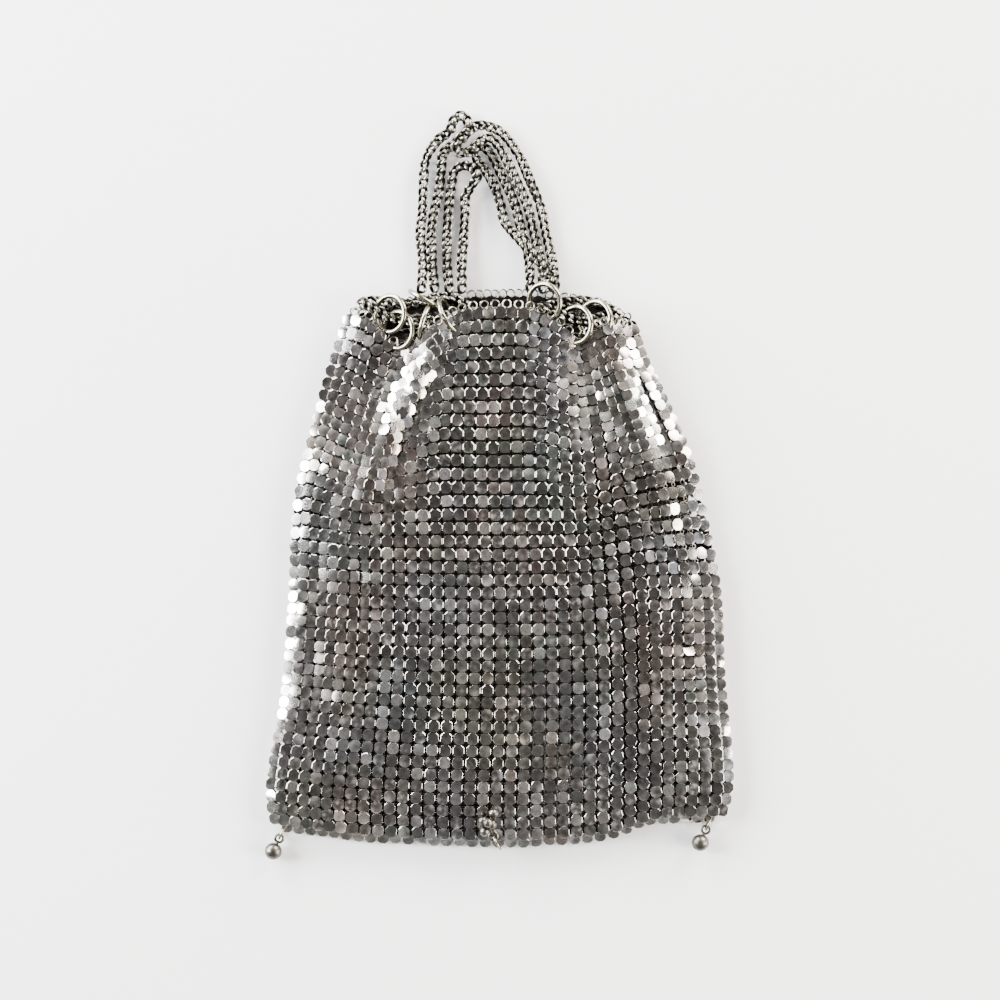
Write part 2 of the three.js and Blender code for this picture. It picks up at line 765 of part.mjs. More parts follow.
function routeCurve(route, closed) {
  return new THREE.CatmullRomCurve3(
    route.map(([x, above, z]) => new THREE.Vector3(x, BODY_LENGTH + above, z)),
    closed,
  );
}

const MESH_METAL = new THREE.MeshStandardMaterial({ color: 0x9d9b94, metalness: 1, roughness: 0.28 });
const RING_METAL = new THREE.MeshStandardMaterial({ color: 0xb4b0a2, metalness: 1, roughness: 0.25 });
const CHAIN_METAL = new THREE.MeshStandardMaterial({ color: 0x8f8c82, metalness: 1, roughness: 0.32 });
const DROP_METAL = new THREE.MeshStandardMaterial({ color: 0x5f5d58, metalness: 1, roughness: 0.35 });

const purse = new THREE.Group();

function addMesh(name, geometry, material) {
  const mesh = new THREE.Mesh(geometry, material);
  mesh.name = name;
  purse.add(mesh);
}

function addPouch() {
  let pouch = solidOf(pouchGeometry());
  for (const ring of RINGS) {
    const tunnel = wireRing({
      ...ring,
      radius: RING_RADIUS,
      wire: RING_WIRE + 2 * CLEARANCE,
      at: ringPlace(ring),
    });
    pouch = pouch.subtract(solidOf(tunnel));
  }
  for (const drop of DROPS) pouch = pouch.subtract(solidOf(jumpRing(drop, CLEARANCE)));
  pouch = pouch.subtract(solidOf(grapeRing(CLEARANCE)));
  addMesh("mesh_pouch", geometryFrom(pouch), MESH_METAL);
}

function addRings() {
  for (const ring of RINGS) {
    const geometry = wireRing({ ...ring, radius: RING_RADIUS, wire: RING_WIRE, at: ringPlace(ring) });
    addMesh(ring.name, geometry, RING_METAL);
  }
}

function addChains() {
  const radius = CHAIN_DIAMETER / 2;
  const loop = new THREE.TubeGeometry(routeCurve(DRAW_CHAIN_ROUTE, true), DRAW_CHAIN_STEPS, radius, TUBE_SIDES, true);
  addMesh("draw_chain", loop, CHAIN_METAL);
  for (const [name, route] of Object.entries(HANDLE_ROUTES)) {
    const tube = new THREE.ExtrudeGeometry(circleShape(radius, TUBE_SIDES), {
      steps: HANDLE_STEPS,
      extrudePath: routeCurve(route, false),
    });
    addMesh(name, tube, CHAIN_METAL);
  }
}

function addDrops() {
  for (const drop of DROPS) {
    addMesh(`drop_${drop.name}`, dropGeometry(drop), DROP_METAL);
    addMesh(`drop_ring_${drop.name}`, jumpRing(drop), RING_METAL);
  }
  addMesh("drop_middle", grapeGeometry(), RING_METAL);
  addMesh("drop_ring_middle", grapeRing(), RING_METAL);
}

addPouch();
addRings();
addChains();
addDrops();

// The origin is the middle of the footprint, on the surface it lies on.
const bounds = new THREE.Box3().setFromObject(purse, true);
const middle = bounds.getCenter(new THREE.Vector3());
purse.position.set(-middle.x, -middle.y, 0);

export default purse;
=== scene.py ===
import math

import bpy
import numpy as np
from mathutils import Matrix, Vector


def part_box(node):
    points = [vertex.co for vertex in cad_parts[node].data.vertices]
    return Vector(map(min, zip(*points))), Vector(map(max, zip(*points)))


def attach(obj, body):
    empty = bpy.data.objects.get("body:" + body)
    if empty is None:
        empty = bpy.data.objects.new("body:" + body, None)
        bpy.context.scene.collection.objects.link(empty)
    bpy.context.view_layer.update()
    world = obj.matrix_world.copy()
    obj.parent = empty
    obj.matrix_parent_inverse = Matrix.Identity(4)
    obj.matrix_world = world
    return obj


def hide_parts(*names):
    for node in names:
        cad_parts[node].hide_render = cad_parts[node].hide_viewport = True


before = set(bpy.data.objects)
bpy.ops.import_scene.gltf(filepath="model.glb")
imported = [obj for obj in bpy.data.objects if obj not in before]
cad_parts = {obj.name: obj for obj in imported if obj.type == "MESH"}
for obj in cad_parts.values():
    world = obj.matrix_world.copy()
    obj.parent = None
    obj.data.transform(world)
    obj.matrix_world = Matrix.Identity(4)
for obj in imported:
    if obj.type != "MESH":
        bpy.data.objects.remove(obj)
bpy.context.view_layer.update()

MM = 0.001

# Sizes of the pouch in millimetres, in the drawing's own frame: Y = 0 is the bottom edge.
BODY_LENGTH = 162
BODY_WIDTH = 140
BODY_DEPTH = 11
SIDE_DEPTH = 5.6
FOLD_HEIGHT = 4
GATHER_DROP = 11
BACK_RISE = 4.2
CROWN_POWER = 0.8
SIDE_FADE = 0.12
HEM_FADE = 0.05
EDGE_BLEND = 0.85
PLATE_COLUMNS = 35

# Plates: stamped squares with bent corner prongs, linked by small rings.
PLATE_WIDTH = 3.42
PLATE_HEIGHT = 3.56
PLATE_CORNER = 0.94
PLATE_THICKNESS = 0.32
PLATE_CROWN = 0.05
PLATE_ROWS = 42
ROW_PITCH_LOW = 3.68
ROW_PITCH_HIGH = 4.06
# The rows grow taller between these shares of their number.
ROW_CHANGE = (0.42, 0.62)
FIRST_ROW = 2.2
SIDE_COLUMNS = 2
LINK_RADIUS = 0.6
LINK_WIRE = 0.26
LINK_DEPTH = 0.75
LINK_TILT = 0.3
# The small links' polish is scaled down so they sit dark in the gaps between plates: painted shade.
LINK_POLISH_AND_SHADE = 0.35
# Plates gathered closer than their width lean up to this, in degrees, and every other one sinks
# by SINK. It begins at the first share of a plate's size and is full at the second.
MOST_LEAN = 9
SINK = 0.9
SINK_ACROSS = (0.86, 0.62)
SINK_UP = (0.8, 0.55)
PLATE_PLAY = 0.04
# On a slope the plates lie like steps: this share of the slope is taken out of each.
STEP_SHARE = 0.6
# Neighbours tilt together, over this range in radians, in patches of this length across and
# longer ones up.
PATCH_TILT = 0.26
PATCH_LENGTH = 11
PATCH_STRETCH = 0.6
# Random tilts and spins of single plates, in radians. Those of the back, which lies flat, tilt
# less, and a share of the others tilts more.
PLATE_TILT = 0.055
BACK_LOOSENESS = 0.35
ODD_SHARE = 0.12
ODD_TILT = 0.1
PLATE_SPIN = 0.02
# How high the middles of the back's plates lie.
BACK_SEAT = 0.35

# Rings, chains and drops
RING_RADIUS = 5.4
RING_WIRE = 1.5
RING_HEIGHT = 8.2
EDGE_RING_RADIUS = 1.22
EDGE_RING_WIRE = 0.52
EDGE_RING_OUT = 0.35
EDGE_RING_LIFTS = (0.1, 0.9)
EDGE_RING_TILTS = (0.2, 0.25)
LINK_LENGTH = 4.3
LINK_WIDTH = 3.2
CHAIN_WIRE = 1.04
LINK_PITCH = 2.45
LINK_TWIST = 0.62
# A power under 1 makes the oval of a link squarer.
LINK_SQUARE = 0.85
# Polish of a link over the height of its wire above the middle: a painted highlight on the raised
# wire and painted shade on its low parts.
LINK_HEIGHTS = [0.3, 0.7, 1.1]
LINK_SHINE = [-0.15, 0.15, 0.6]
# The chain rolls this far to each side, in radians, over a stretch of this length.
CHAIN_ROLL = 0.6
CHAIN_ROLL_LENGTH = 27
CHAIN_JITTER = 0.12
# The run of a chain at a link is taken over this far to each side of it.
CHAIN_REACH = 0.8
DROP_BALL = 5
GRAPE_BALL = 2.3
# The balls of the bunch are drawn fuller and wider apart than their packed stand-in.
GRAPE_SWELL = 1.25
EYE_RADIUS = 1.2
EYE_WIRE = 0.8
JUMP_RADIUS = 1.9
JUMP_WIRE = 0.7
NECK_LENGTH = 0.5
NECK_RADIUS = 0.5
SEAT = 0.3
GRAPE_LIFT = 0.3
GRAPE_STEM_RADIUS = 0.4
GRAPE_NECK_RADIUS = 0.45
# Raised seams round the balls, as shares of the radius, and the share of polish the drops keep.
DROP_SEAM = 0.03
GRAPE_SEAM = 0.05
SEAM_SPREAD = 0.14
DROP_POLISH = 0.5
DROP_RING_POLISH = 0.6
# The step across, in columns, of the search for a height on the front.
COLUMN_STEP = 0.25

# Camera straight above, on a frame 300 mm wide, its middle given on the drawing.
FRAME_WIDTH = 300
FRAME_MIDDLE = (0, 104.4, 4)
LENS = 84
SENSOR = 36

# Corner drops: the column that each hangs from, its hole's offset from there, and its heading in
# degrees. Then the bunch in the middle, its ring and its balls, placed from the bunch's centre.
DROPS = [
    {"name": "left", "column": 0, "in_x": 1.0, "in_y": 1.2, "heading": -115},
    {"name": "right", "column": 35, "in_x": -1.4, "in_y": 1.3, "heading": -113},
]
GRAPE = {"x": -3.6, "up": 7.2, "eye_x": 1.6, "eye_up": -3.4, "top": 4.5}
GRAPE_RING = {"radius": 2.4, "heading": -62, "rise": 25}
GRAPE_BALLS = [
    {"right": 1.3, "up": 3.0, "out": 0.1},
    {"right": -1.2, "up": 1.2, "out": 0.1},
    {"right": 0.9, "up": 0.4, "out": 0.3},
    {"right": -0.8, "up": -1.3, "out": 0.0},
    {"right": 0.0, "up": 0.9, "out": 1.2},
]

# Where chosen columns of plates run: rows of share up, then across as shares of half the width.
# The columns are the left edge, panel, fold, near, middle, far, gather, ridge and right edge.
SECTION_COLUMNS = [0, 6, 9, 13, 17, 21, 25, 29, 35]
SECTIONS = [
    (0.0, -0.94, -0.65, -0.49, -0.265, -0.038, 0.19, 0.415, 0.64, 0.925),
    (0.08, -0.963, -0.665, -0.5, -0.274, -0.045, 0.184, 0.412, 0.64, 0.96),
    (0.28, -0.895, -0.62, -0.465, -0.247, -0.025, 0.197, 0.418, 0.64, 0.925),
    (0.46, -0.865, -0.6, -0.45, -0.238, -0.025, 0.188, 0.4, 0.63, 0.905),
    (0.58, -0.855, -0.6, -0.455, -0.245, -0.038, 0.17, 0.375, 0.6, 0.85),
    (0.66, -0.83, -0.585, -0.455, -0.255, -0.05, 0.155, 0.36, 0.575, 0.8),
    (0.74, -0.787, -0.545, -0.44, -0.262, -0.055, 0.148, 0.35, 0.545, 0.74),
    (0.88, -0.71, -0.475, -0.38, -0.238, -0.045, 0.155, 0.33, 0.475, 0.624),
    (1.0, -0.624, -0.42, -0.315, -0.2, -0.02, 0.175, 0.325, 0.42, 0.547),
]
# How far the gathers lift or lower the rows at the same columns, shares of GATHER_DROP.
ROW_LIFTS = [
    (0.5, 0, 0, 0, 0, 0, 0, 0, 0, 0),
    (0.58, 0.1, -0.05, -0.05, 0, 0, 0, 0, 0.1, 0.3),
    (0.66, 0.2, -0.25, -0.2, 0, 0, 0, -0.1, 0.25, 0.6),
    (0.74, 0.1, -0.45, -0.35, 0, 0, 0, -0.3, 0.1, 0.5),
    (0.88, -0.1, -0.8, -0.55, -0.05, 0, 0, -0.6, -0.35, 0),
    (1.0, -0.14, -1.04, -0.7, -0.1, 0, 0, -0.85, -0.5, -0.5),
]
# Pairs of (share up, depth), (column, rise), (column, drop) and (across, rise).
FULLNESS = [
    (0.0, 0.3), (0.05, 0.55), (0.14, 0.74), (0.35, 0.84), (0.65, 0.88), (0.85, 0.94), (1.0, 1.0),
]
BOTTOM_EDGE = [
    (0, 0.03), (4, 0.018), (10, 0.006), (17, 0.0), (22, 0.004), (26, 0.014), (28, 0.03),
    (30, 0.042), (35, 0.046),
]
FRONT_EDGE = [
    (0, 0.14), (1.5, 0.24), (2.6, 0.34), (3.3, 0.55), (4, 0.78), (5, 0.95), (6.2, 1.04), (7.6, 0.9),
    (9, 0.7), (11, 0.45), (12.4, 0.25), (14, 0.08), (16, 0.0), (19, 0.0), (21, 0.12), (23, 0.45),
    (25, 0.85), (27, 0.72), (29, 0.5), (32, 0.42), (35, 0.5),
]
BACK_EDGE = [
    (-1, -0.4), (-0.7, 0.3), (-0.3, 0.8), (0, 1.0), (0.4, 0.95), (0.8, 0.25), (1, -0.65),
]

# Folds of the front: name, half width, then stations of (share up, share across, height).
FOLDS = [
    ("left gather ridge", 4.8, [
        (0.6, -0.63, 0), (0.64, -0.59, 0.4), (0.67, -0.566, 0.7), (0.74, -0.527, 0.9),
        (0.79, -0.49, 1.0), (0.84, -0.425, 1.0), (0.887, -0.37, 1.1), (0.937, -0.28, 1.0),
        (1.0, -0.25, 0.8),
    ]),
    ("left gather valley", 2.2, [
        (0.62, -0.6, 0), (0.645, -0.57, -0.4), (0.68, -0.5, -0.7), (0.74, -0.45, -0.85),
        (0.81, -0.39, -0.85), (0.854, -0.343, -0.8), (0.904, -0.255, -0.7), (1.0, -0.19, -0.35),
    ]),
    ("left notch", 5.2, [
        (0.8, -0.56, 0), (0.9, -0.49, -0.35), (1.0, -0.43, -0.65),
    ]),
    ("left cross crease", 9.0, [
        (0.555, -0.7, 0), (0.595, -0.7, -0.2), (0.635, -0.68, 0),
    ]),
    ("left side hollow", 3.6, [
        (0.1, -0.83, -0.1), (0.3, -0.8, -0.32), (0.5, -0.78, -0.3), (0.56, -0.78, 0),
    ]),
    ("left side ridge", 4.2, [
        (0.12, -0.7, 0), (0.28, -0.68, 0.22), (0.5, -0.66, 0.28), (0.56, -0.64, 0),
    ]),
    ("right inner ridge", 3.0, [
        (0.55, 0.5, 0), (0.62, 0.52, 0.3), (0.7, 0.54, 0.4), (0.78, 0.47, 0),
    ]),
    ("right gather valley", 4.0, [
        (0.6, 0.47, 0), (0.7, 0.46, -0.3), (0.77, 0.43, -0.6), (0.84, 0.39, -0.85), (1.0, 0.34, -0.9),
    ]),
    ("right side ridge", 4.2, [
        (0.04, 0.83, 0), (0.13, 0.82, 0.35), (0.3, 0.81, 0.45), (0.5, 0.78, 0.55), (0.62, 0.7, 0.7),
        (0.72, 0.6, 0.8), (0.85, 0.53, 0.7), (1.0, 0.45, 0.5),
    ]),
    ("right side crease", 2.0, [
        (0.48, 0.84, 0), (0.6, 0.78, -0.3), (0.72, 0.68, -0.45), (0.85, 0.6, -0.35), (0.95, 0.53, 0),
    ]),
    ("middle ripple", 3.2, [
        (0.86, 0.06, 0), (0.93, 0.05, 0.2), (1.0, 0.04, 0.28),
    ]),
    ("hem wave", 6.0, [
        (0.0, 0.5, 0.15), (0.1, 0.5, 0.22), (0.25, 0.48, 0),
    ]),
]

# Rings: name, centre x, above the mouth line, lift, turn and lean in degrees.
RINGS = [
    ("ring_left_outer", -32.8, -2.1, 0, 0, -56),
    ("ring_left_second", -30.4, -7, 0, 0, -56),
    ("ring_left_third", -22.2, -5, 0, -17, 8),
    ("ring_left_inner", -15.2, -2.8, 0, 29, 16),
    ("ring_left_back", -22.2, 2.2, -2.1, 60, 4),
    ("ring_right_inner", 13.2, 1.4, 0.4, 18, -56),
    ("ring_right_second", 22.6, -5.4, 0, 0, -56),
    ("ring_right_outer", 28.3, -3.8, 0, 0, -56),
]

# Routes of the chains: points of (x, above the mouth line, z).
DRAW_CHAIN_ROUTE = [
    (-41.6, 1.4, 6.0), (-38.2, -0.2, 9.0), (-33.0, -3.4, 9.0), (-28.4, -4.8, 8.1), (-22.4, -4.5, 8.0),
    (-16.2, -3.0, 7.4), (-10.6, -3.5, 5.1), (-5.6, -5.2, 3.4), (0.0, -5.6, 3.2), (4.2, -4.6, 5.0),
    (8.2, -1.9, 8.2), (12.8, 0, 7.9), (16.6, -1.2, 7.6), (20.4, -3.4, 8.6), (24.6, -4.4, 8.0),
    (29.4, -3.2, 8.0), (34.0, -1.2, 5.4), (29.6, 1.6, 3.5), (21.0, 2.0, 3.2), (14.0, 0.6, 3.1),
    (8.0, -1.2, 3.1), (0.0, -1.6, 3.1), (-7.6, -1.2, 3.1), (-11.4, 1.8, 3.1), (-15.4, 3.4, 3.1),
    (-18.6, 3.2, 3.4), (-22.2, 2.4, 4.2), (-26.6, 1.4, 3.6), (-32.0, 1.4, 3.2), (-37.6, 2.2, 3.2),
]
HANDLE_ROUTES = {
    "handle_left_outer": [
        (-23.6, 5.2, 3.0), (-23.2, 13, 1.8), (-24.0, 22.5, 1.75), (-23.3, 28.8, 1.75), (-23.0, 38, 1.75),
        (-22.3, 45, 1.75), (-18.8, 50.6, 1.75), (-15.2, 53.4, 1.75), (-13.6, 57.0, 1.75),
        (-11.4, 58.0, 1.75), (-9.7, 56.2, 1.75), (-10.3, 52.4, 1.75), (-13.4, 49.8, 1.75),
        (-17.0, 46.8, 1.75), (-17.7, 41.6, 1.75), (-18.4, 35, 1.75), (-20.0, 28, 1.75), (-20.6, 22, 1.9),
        (-20.4, 14, 3.2), (-19.6, 5.2, 3.0),
    ],
    "handle_left_inner": [
        (-15.2, 5.2, 3.0), (-16.0, 14, 1.8), (-15.8, 24, 1.75), (-15.2, 32, 1.75), (-14.5, 38, 1.75),
        (-13.6, 41.6, 1.75), (-11.0, 43.0, 2.0), (-8.0, 41.8, 4.2), (-7.0, 39.0, 5.0), (-8.8, 36.4, 3.6),
        (-10.4, 33.6, 1.75), (-10.4, 28.5, 1.75), (-10.8, 22, 1.75), (-11.5, 14, 1.9), (-11.4, 5.2, 3.0),
    ],
    "handle_right_outer": [
        (16.8, 5.2, 3.0), (15.8, 14, 1.8), (14.0, 22.3, 1.75), (12.2, 30.6, 1.75), (8.9, 38.7, 1.75),
        (5.4, 46.7, 1.75), (0.4, 53.0, 1.75), (-3.7, 54.8, 1.8), (-7.2, 54.4, 4.5), (-10.2, 52.2, 5.1),
        (-12.8, 49.6, 5.1), (-12.4, 46.6, 5.1), (-9.2, 46.8, 5.1), (-6.2, 49.6, 5.1), (-3.4, 51.0, 4.3),
        (-0.6, 48.8, 3.6), (1.4, 45.6, 3.6), (4.6, 38.7, 3.7), (8.1, 31.1, 3.5), (9.9, 24.4, 1.9),
        (11.4, 18, 1.8), (12.6, 12.4, 1.8), (12.9, 5.2, 3.0),
    ],
    "handle_right_inner": [
        (9.0, 5.2, 3.0), (8.9, 13, 1.8), (7.9, 19, 1.75), (6.0, 25.4, 1.75), (4.4, 31.6, 1.75),
        (1.8, 37.6, 1.75), (-0.4, 42.1, 1.75), (-2.1, 45.6, 1.75), (-4.1, 48.1, 1.75), (-6.4, 49.0, 1.6),
        (-8.0, 47.2, 1.75), (-6.8, 44.6, 1.75), (-4.0, 41.0, 1.75), (-1.6, 36.6, 1.75), (0.2, 31, 1.75),
        (1.3, 26.4, 1.9), (4.4, 22.0, 5.1), (9.3, 16.6, 5.3), (14.8, 9.6, 6.2), (15.6, 5.4, 6.2),
    ],
}

half_width = BODY_WIDTH / 2
UP = np.array([0.0, 0, 1])
# An axis that rises more than this share of its length counts as upright.
STEEP = 0.8


def mix(a, b, t):
    return a + (b - a) * t


def smooth(value, low, high):
    t = min(max((value - low) / (high - low), 0.0), 1.0)
    return t * t * (3 - 2 * t)


def read(table, place, at):
    """A smooth reading of a short table of rows: at key = at, the value at place in the row."""
    last = len(table) - 1
    if at <= table[0][0]:
        return table[0][place]
    if at >= table[last][0]:
        return table[last][place]
    i = 0
    while at > table[i + 1][0]:
        i += 1
    before = table[max(i - 1, 0)]
    low = table[i]
    high = table[i + 1]
    after = table[min(i + 2, last)]
    span = high[0] - low[0]
    t = (at - low[0]) / span
    slope_low = (high[place] - before[place]) / (high[0] - before[0]) * span
    slope_high = (after[place] - low[place]) / (after[0] - low[0]) * span
    t2 = t * t
    t3 = t2 * t
    return (
        (2 * t3 - 3 * t2 + 1) * low[place]
        + (t3 - 2 * t2 + t) * slope_low
        + (3 * t2 - 2 * t3) * high[place]
        + (t3 - t2) * slope_high
    )


def read_sections(table, column, up):
    stations = [(at, read(table, i + 1, up)) for i, at in enumerate(SECTION_COLUMNS)]
    return read(stations, 1, column)


def column_x(column, up):
    return read_sections(SECTIONS, column, up) * half_width


def row_lift(column, up):
    lift = read_sections(ROW_LIFTS, column, up)
    edge = -read(FRONT_EDGE, 1, column)
    return mix(lift, edge, smooth(up, EDGE_BLEND, 1)) * GATHER_DROP


def fold_height(x, up):
    height = 0.0
    for _, spread, stations in FOLDS:
        if up < stations[0][0] or (up > stations[-1][0] and stations[-1][0] < 1):
            continue
        off = (x - read(stations, 1, up) * half_width) / spread
        height += read(stations, 2, up) * math.exp(-off * off)
    return height * FOLD_HEIGHT


def depth_at(up):
    return read(FULLNESS, 1, up) * BODY_DEPTH


def side_depth_at(up):
    return min(SIDE_DEPTH, depth_at(up))


def front_point(column, v):
    """A point of the front face, for a column and a share v up from the bottom edge."""
    bottom = read(BOTTOM_EDGE, 1, column) * BODY_LENGTH
    x = column_x(column, v)
    y = mix(bottom, BODY_LENGTH, v) + row_lift(column, v)
    across = 2 * column / PLATE_COLUMNS - 1
    side = side_depth_at(v)
    crown = max(1 - across**4, 0) ** CROWN_POWER
    fade = min(1, (1 - abs(across)) / SIDE_FADE, v / HEM_FADE)
    return np.array([x, y, side + (depth_at(v) - side) * crown + fold_height(x, v) * fade])


def back_point(across, v):
    """A point of the back, flat where it lies: across runs from -1 at the left to 1."""
    column = (across + 1) / 2 * PLATE_COLUMNS
    bottom = read(BOTTOM_EDGE, 1, column) * BODY_LENGTH
    top = BODY_LENGTH + read(BACK_EDGE, 1, across) * BACK_RISE
    x = mix(column_x(0, v), column_x(PLATE_COLUMNS, v), (across + 1) / 2)
    return np.array([x, mix(bottom, top, v), 0.0])


def side_point(v, sign, share):
    """A point of the rolled side, from the front edge at share 0 to the back at share 1."""
    front = front_point(0 if sign < 0 else PLATE_COLUMNS, v)
    back = back_point(sign, v)
    radius = side_depth_at(v) / 2
    angle = math.pi * share
    x = front[0] + sign * math.sin(angle) * radius
    return np.array([x, mix(front[1], back[1], share), radius + radius * math.cos(angle)])


def unit(v):
    return v / np.linalg.norm(v)


def square_axes(axis):
    """Two unit vectors at right angles to a unit axis and to each other."""
    helper = UP if abs(axis[2]) < STEEP else np.array([0.0, 1, 0])
    a = unit(np.cross(helper, axis))
    return a, np.cross(axis, a)


def turned(v, axis, angle):
    """A vector turned about a unit axis by an angle in radians."""
    cosine = math.cos(angle)
    return v * cosine + np.cross(axis, v) * math.sin(angle) + axis * np.dot(axis, v) * (1 - cosine)


# The shift from the drawing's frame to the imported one, from the middle of one ring.
def packed_shift():
    name, x, above, lift, _, _ = RINGS[0]
    low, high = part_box(name)
    middle = (np.array(low) + np.array(high)) / 2
    drawn = np.array([x, BODY_LENGTH + above, RING_HEIGHT + lift]) * MM
    return middle - drawn


shift = packed_shift()


def packed(points):
    """Points of the drawing, in millimetres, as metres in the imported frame."""
    return np.asarray(points) * MM + shift


# Colours and materials. How far tarnish stains the plates, how much their grain dulls them, and
# how much duller wire is in its hollows.
STAIN_SHARE = 0.5
GRAIN_DULLNESS = 0.12
HOLLOW_DULLNESS = 0.22


def linear(code):
    """A linear colour from an sRGB hex code."""
    values = [int(code[i:i + 2], 16) / 255 for i in (0, 2, 4)]
    return [v / 12.92 if v <= 0.04045 else ((v + 0.055) / 1.055) ** 2.4 for v in values]


def add_node(tree, kind, links=None, **settings):
    """Adds a node, sets its named properties and sockets, and links outputs into it."""
    node = tree.nodes.new(kind)
    for name, value in settings.items():
        if hasattr(node, name):
            setattr(node, name, value)
        else:
            node.inputs[name.replace("_", " ")].default_value = value
    for name, source in (links or {}).items():
        tree.links.new(source, node.inputs[name])
    return node


def per_metre(size_mm):
    """The noise scale for features of a size in millimetres."""
    return 1 / (size_mm * MM)


def noise(tree, place, scale, **settings):
    return add_node(tree, "ShaderNodeTexNoise", {"Vector": place}, Scale=scale, **settings)


def new_material(name):
    material = bpy.data.materials.new(name)
    material.use_nodes = True
    tree = material.node_tree
    tree.nodes.clear()
    surface = add_node(tree, "ShaderNodeBsdfPrincipled")
    add_node(tree, "ShaderNodeOutputMaterial", {"Surface": surface.outputs["BSDF"]})
    return material, tree, surface


def ramp(tree, source, stops):
    """A colour ramp over stops of (position, linear colour or grey)."""
    node = add_node(tree, "ShaderNodeValToRGB", {"Fac": source})
    elements = node.color_ramp.elements
    while len(elements) < len(stops):
        elements.new(0.5)
    for element, (at, value) in zip(elements, stops):
        element.position = at
        colour = value if isinstance(value, (list, tuple)) else [value] * 3
        element.color = (*colour, 1)
    return node.outputs["Color"]


def nickel_silver_plates():
    """Stamped nickel silver, once silver plated: a mirror dulled by fine scratches, under a film
    of tarnish that thins and thickens across each plate."""
    material, tree, surface = new_material("nickel_silver_plates")
    place = add_node(tree, "ShaderNodeTexCoord").outputs["Object"]
    # The tint carries the tarnish casts and the painted shade of undersides, sides and prongs.
    tint = add_node(tree, "ShaderNodeAttribute", attribute_name="tint").outputs["Color"]
    wear_and_shade = add_node(tree, "ShaderNodeAttribute", attribute_name="wear_and_shade").outputs["Fac"]
    patches = noise(tree, place, per_metre(1.8), Detail=4.0)
    film = ramp(tree, patches.outputs["Fac"], [(0.36, linear("a59f94")), (0.58, linear("ffffff"))])
    stained = add_node(tree, "ShaderNodeMix", data_type="RGBA", blend_type="MULTIPLY")
    stained.inputs["Factor"].default_value = STAIN_SHARE
    tree.links.new(tint, stained.inputs[6])
    tree.links.new(film, stained.inputs[7])
    tree.links.new(stained.outputs[2], surface.inputs["Base Color"])
    surface.inputs["Metallic"].default_value = 1
    grain = noise(tree, place, per_metre(0.4), Detail=4.0)
    dull = add_node(
        tree, "ShaderNodeMath", {0: grain.outputs["Fac"], 2: wear_and_shade}, operation="MULTIPLY_ADD",
    )
    dull.inputs[1].default_value = GRAIN_DULLNESS
    tree.links.new(dull.outputs[0], surface.inputs["Roughness"])
    bump = add_node(
        tree, "ShaderNodeBump", {"Height": grain.outputs["Fac"]}, Strength=0.3, Distance=0.012 * MM,
    )
    tree.links.new(bump.outputs["Normal"], surface.inputs["Normal"])
    return material


def drawn_wire(name, bright, dark, dull):
    """Drawn nickel silver wire: warm grey under patchy tarnish, lighter where its value is high and dark
    where it is low, which paints highlight on raised wire and shade in its hollows.
    """
    material, tree, surface = new_material(name)
    place = add_node(tree, "ShaderNodeTexCoord").outputs["Object"]
    wear_and_shade = add_node(tree, "ShaderNodeAttribute", attribute_name="wear_and_shade").outputs["Fac"]
    grime = noise(tree, place, per_metre(1.6), Detail=4.0)
    mixed = add_node(tree, "ShaderNodeMath", {0: grime.outputs["Fac"], 1: wear_and_shade}, operation="ADD")
    # Painted highlight and painted shade: the colour runs from dark to bright with the wire's value.
    colour = ramp(tree, mixed.outputs[0], [(0.48, linear(dark)), (0.98, linear(bright))])
    tree.links.new(colour, surface.inputs["Base Color"])
    surface.inputs["Metallic"].default_value = 1
    polish_and_shade = ramp(tree, mixed.outputs[0], [(0.3, dull + HOLLOW_DULLNESS), (0.95, dull)])
    tree.links.new(polish_and_shade, surface.inputs["Roughness"])
    return material


def pale_floor():
    """Matt pale paper on the studio floor."""
    material, tree, surface = new_material("pale_paper")
    place = add_node(tree, "ShaderNodeTexCoord").outputs["Object"]
    fibre = noise(tree, place, per_metre(3), Detail=3.0)
    colour = ramp(tree, fibre.outputs["Fac"], [(0.0, linear("f6f6f4")), (1.0, linear("fbfbfa"))])
    tree.links.new(colour, surface.inputs["Base Color"])
    surface.inputs["Roughness"].default_value = 0.9
    return material


plates_metal = nickel_silver_plates()
# The dark ends of these wire colours carry painted shade, the bright ends painted highlight.
link_metal = drawn_wire("nickel_silver_links", "7d796f", "0e0d0b", 0.26)
ring_metal = drawn_wire("nickel_silver_rings", "8f8a78", "28241c", 0.22)
chain_metal = drawn_wire("oxidised_nickel_silver", "8e8a7d", "0b0a08", 0.24)
drop_metal = drawn_wire("tarnished_nickel_silver", "77736a", "1f1c18", 0.3)


# Mesh building. Polish of a tube at its middle and how far it varies round the tube, lowest on the
# inside of a loop as painted shade; polish of the lower half of a ball and how far it rises to the
# top, a painted highlight on top and painted shade below; and polish of a stem.
TUBE_POLISH_AND_SHADE = (0.5, 0.4)
BALL_POLISH_AND_SHADE = (0.25, 0.35)
STEM_POLISH = 0.2


def add_object(name, data):
    made = bpy.data.objects.new(name, data)
    bpy.context.scene.collection.objects.link(made)
    return made


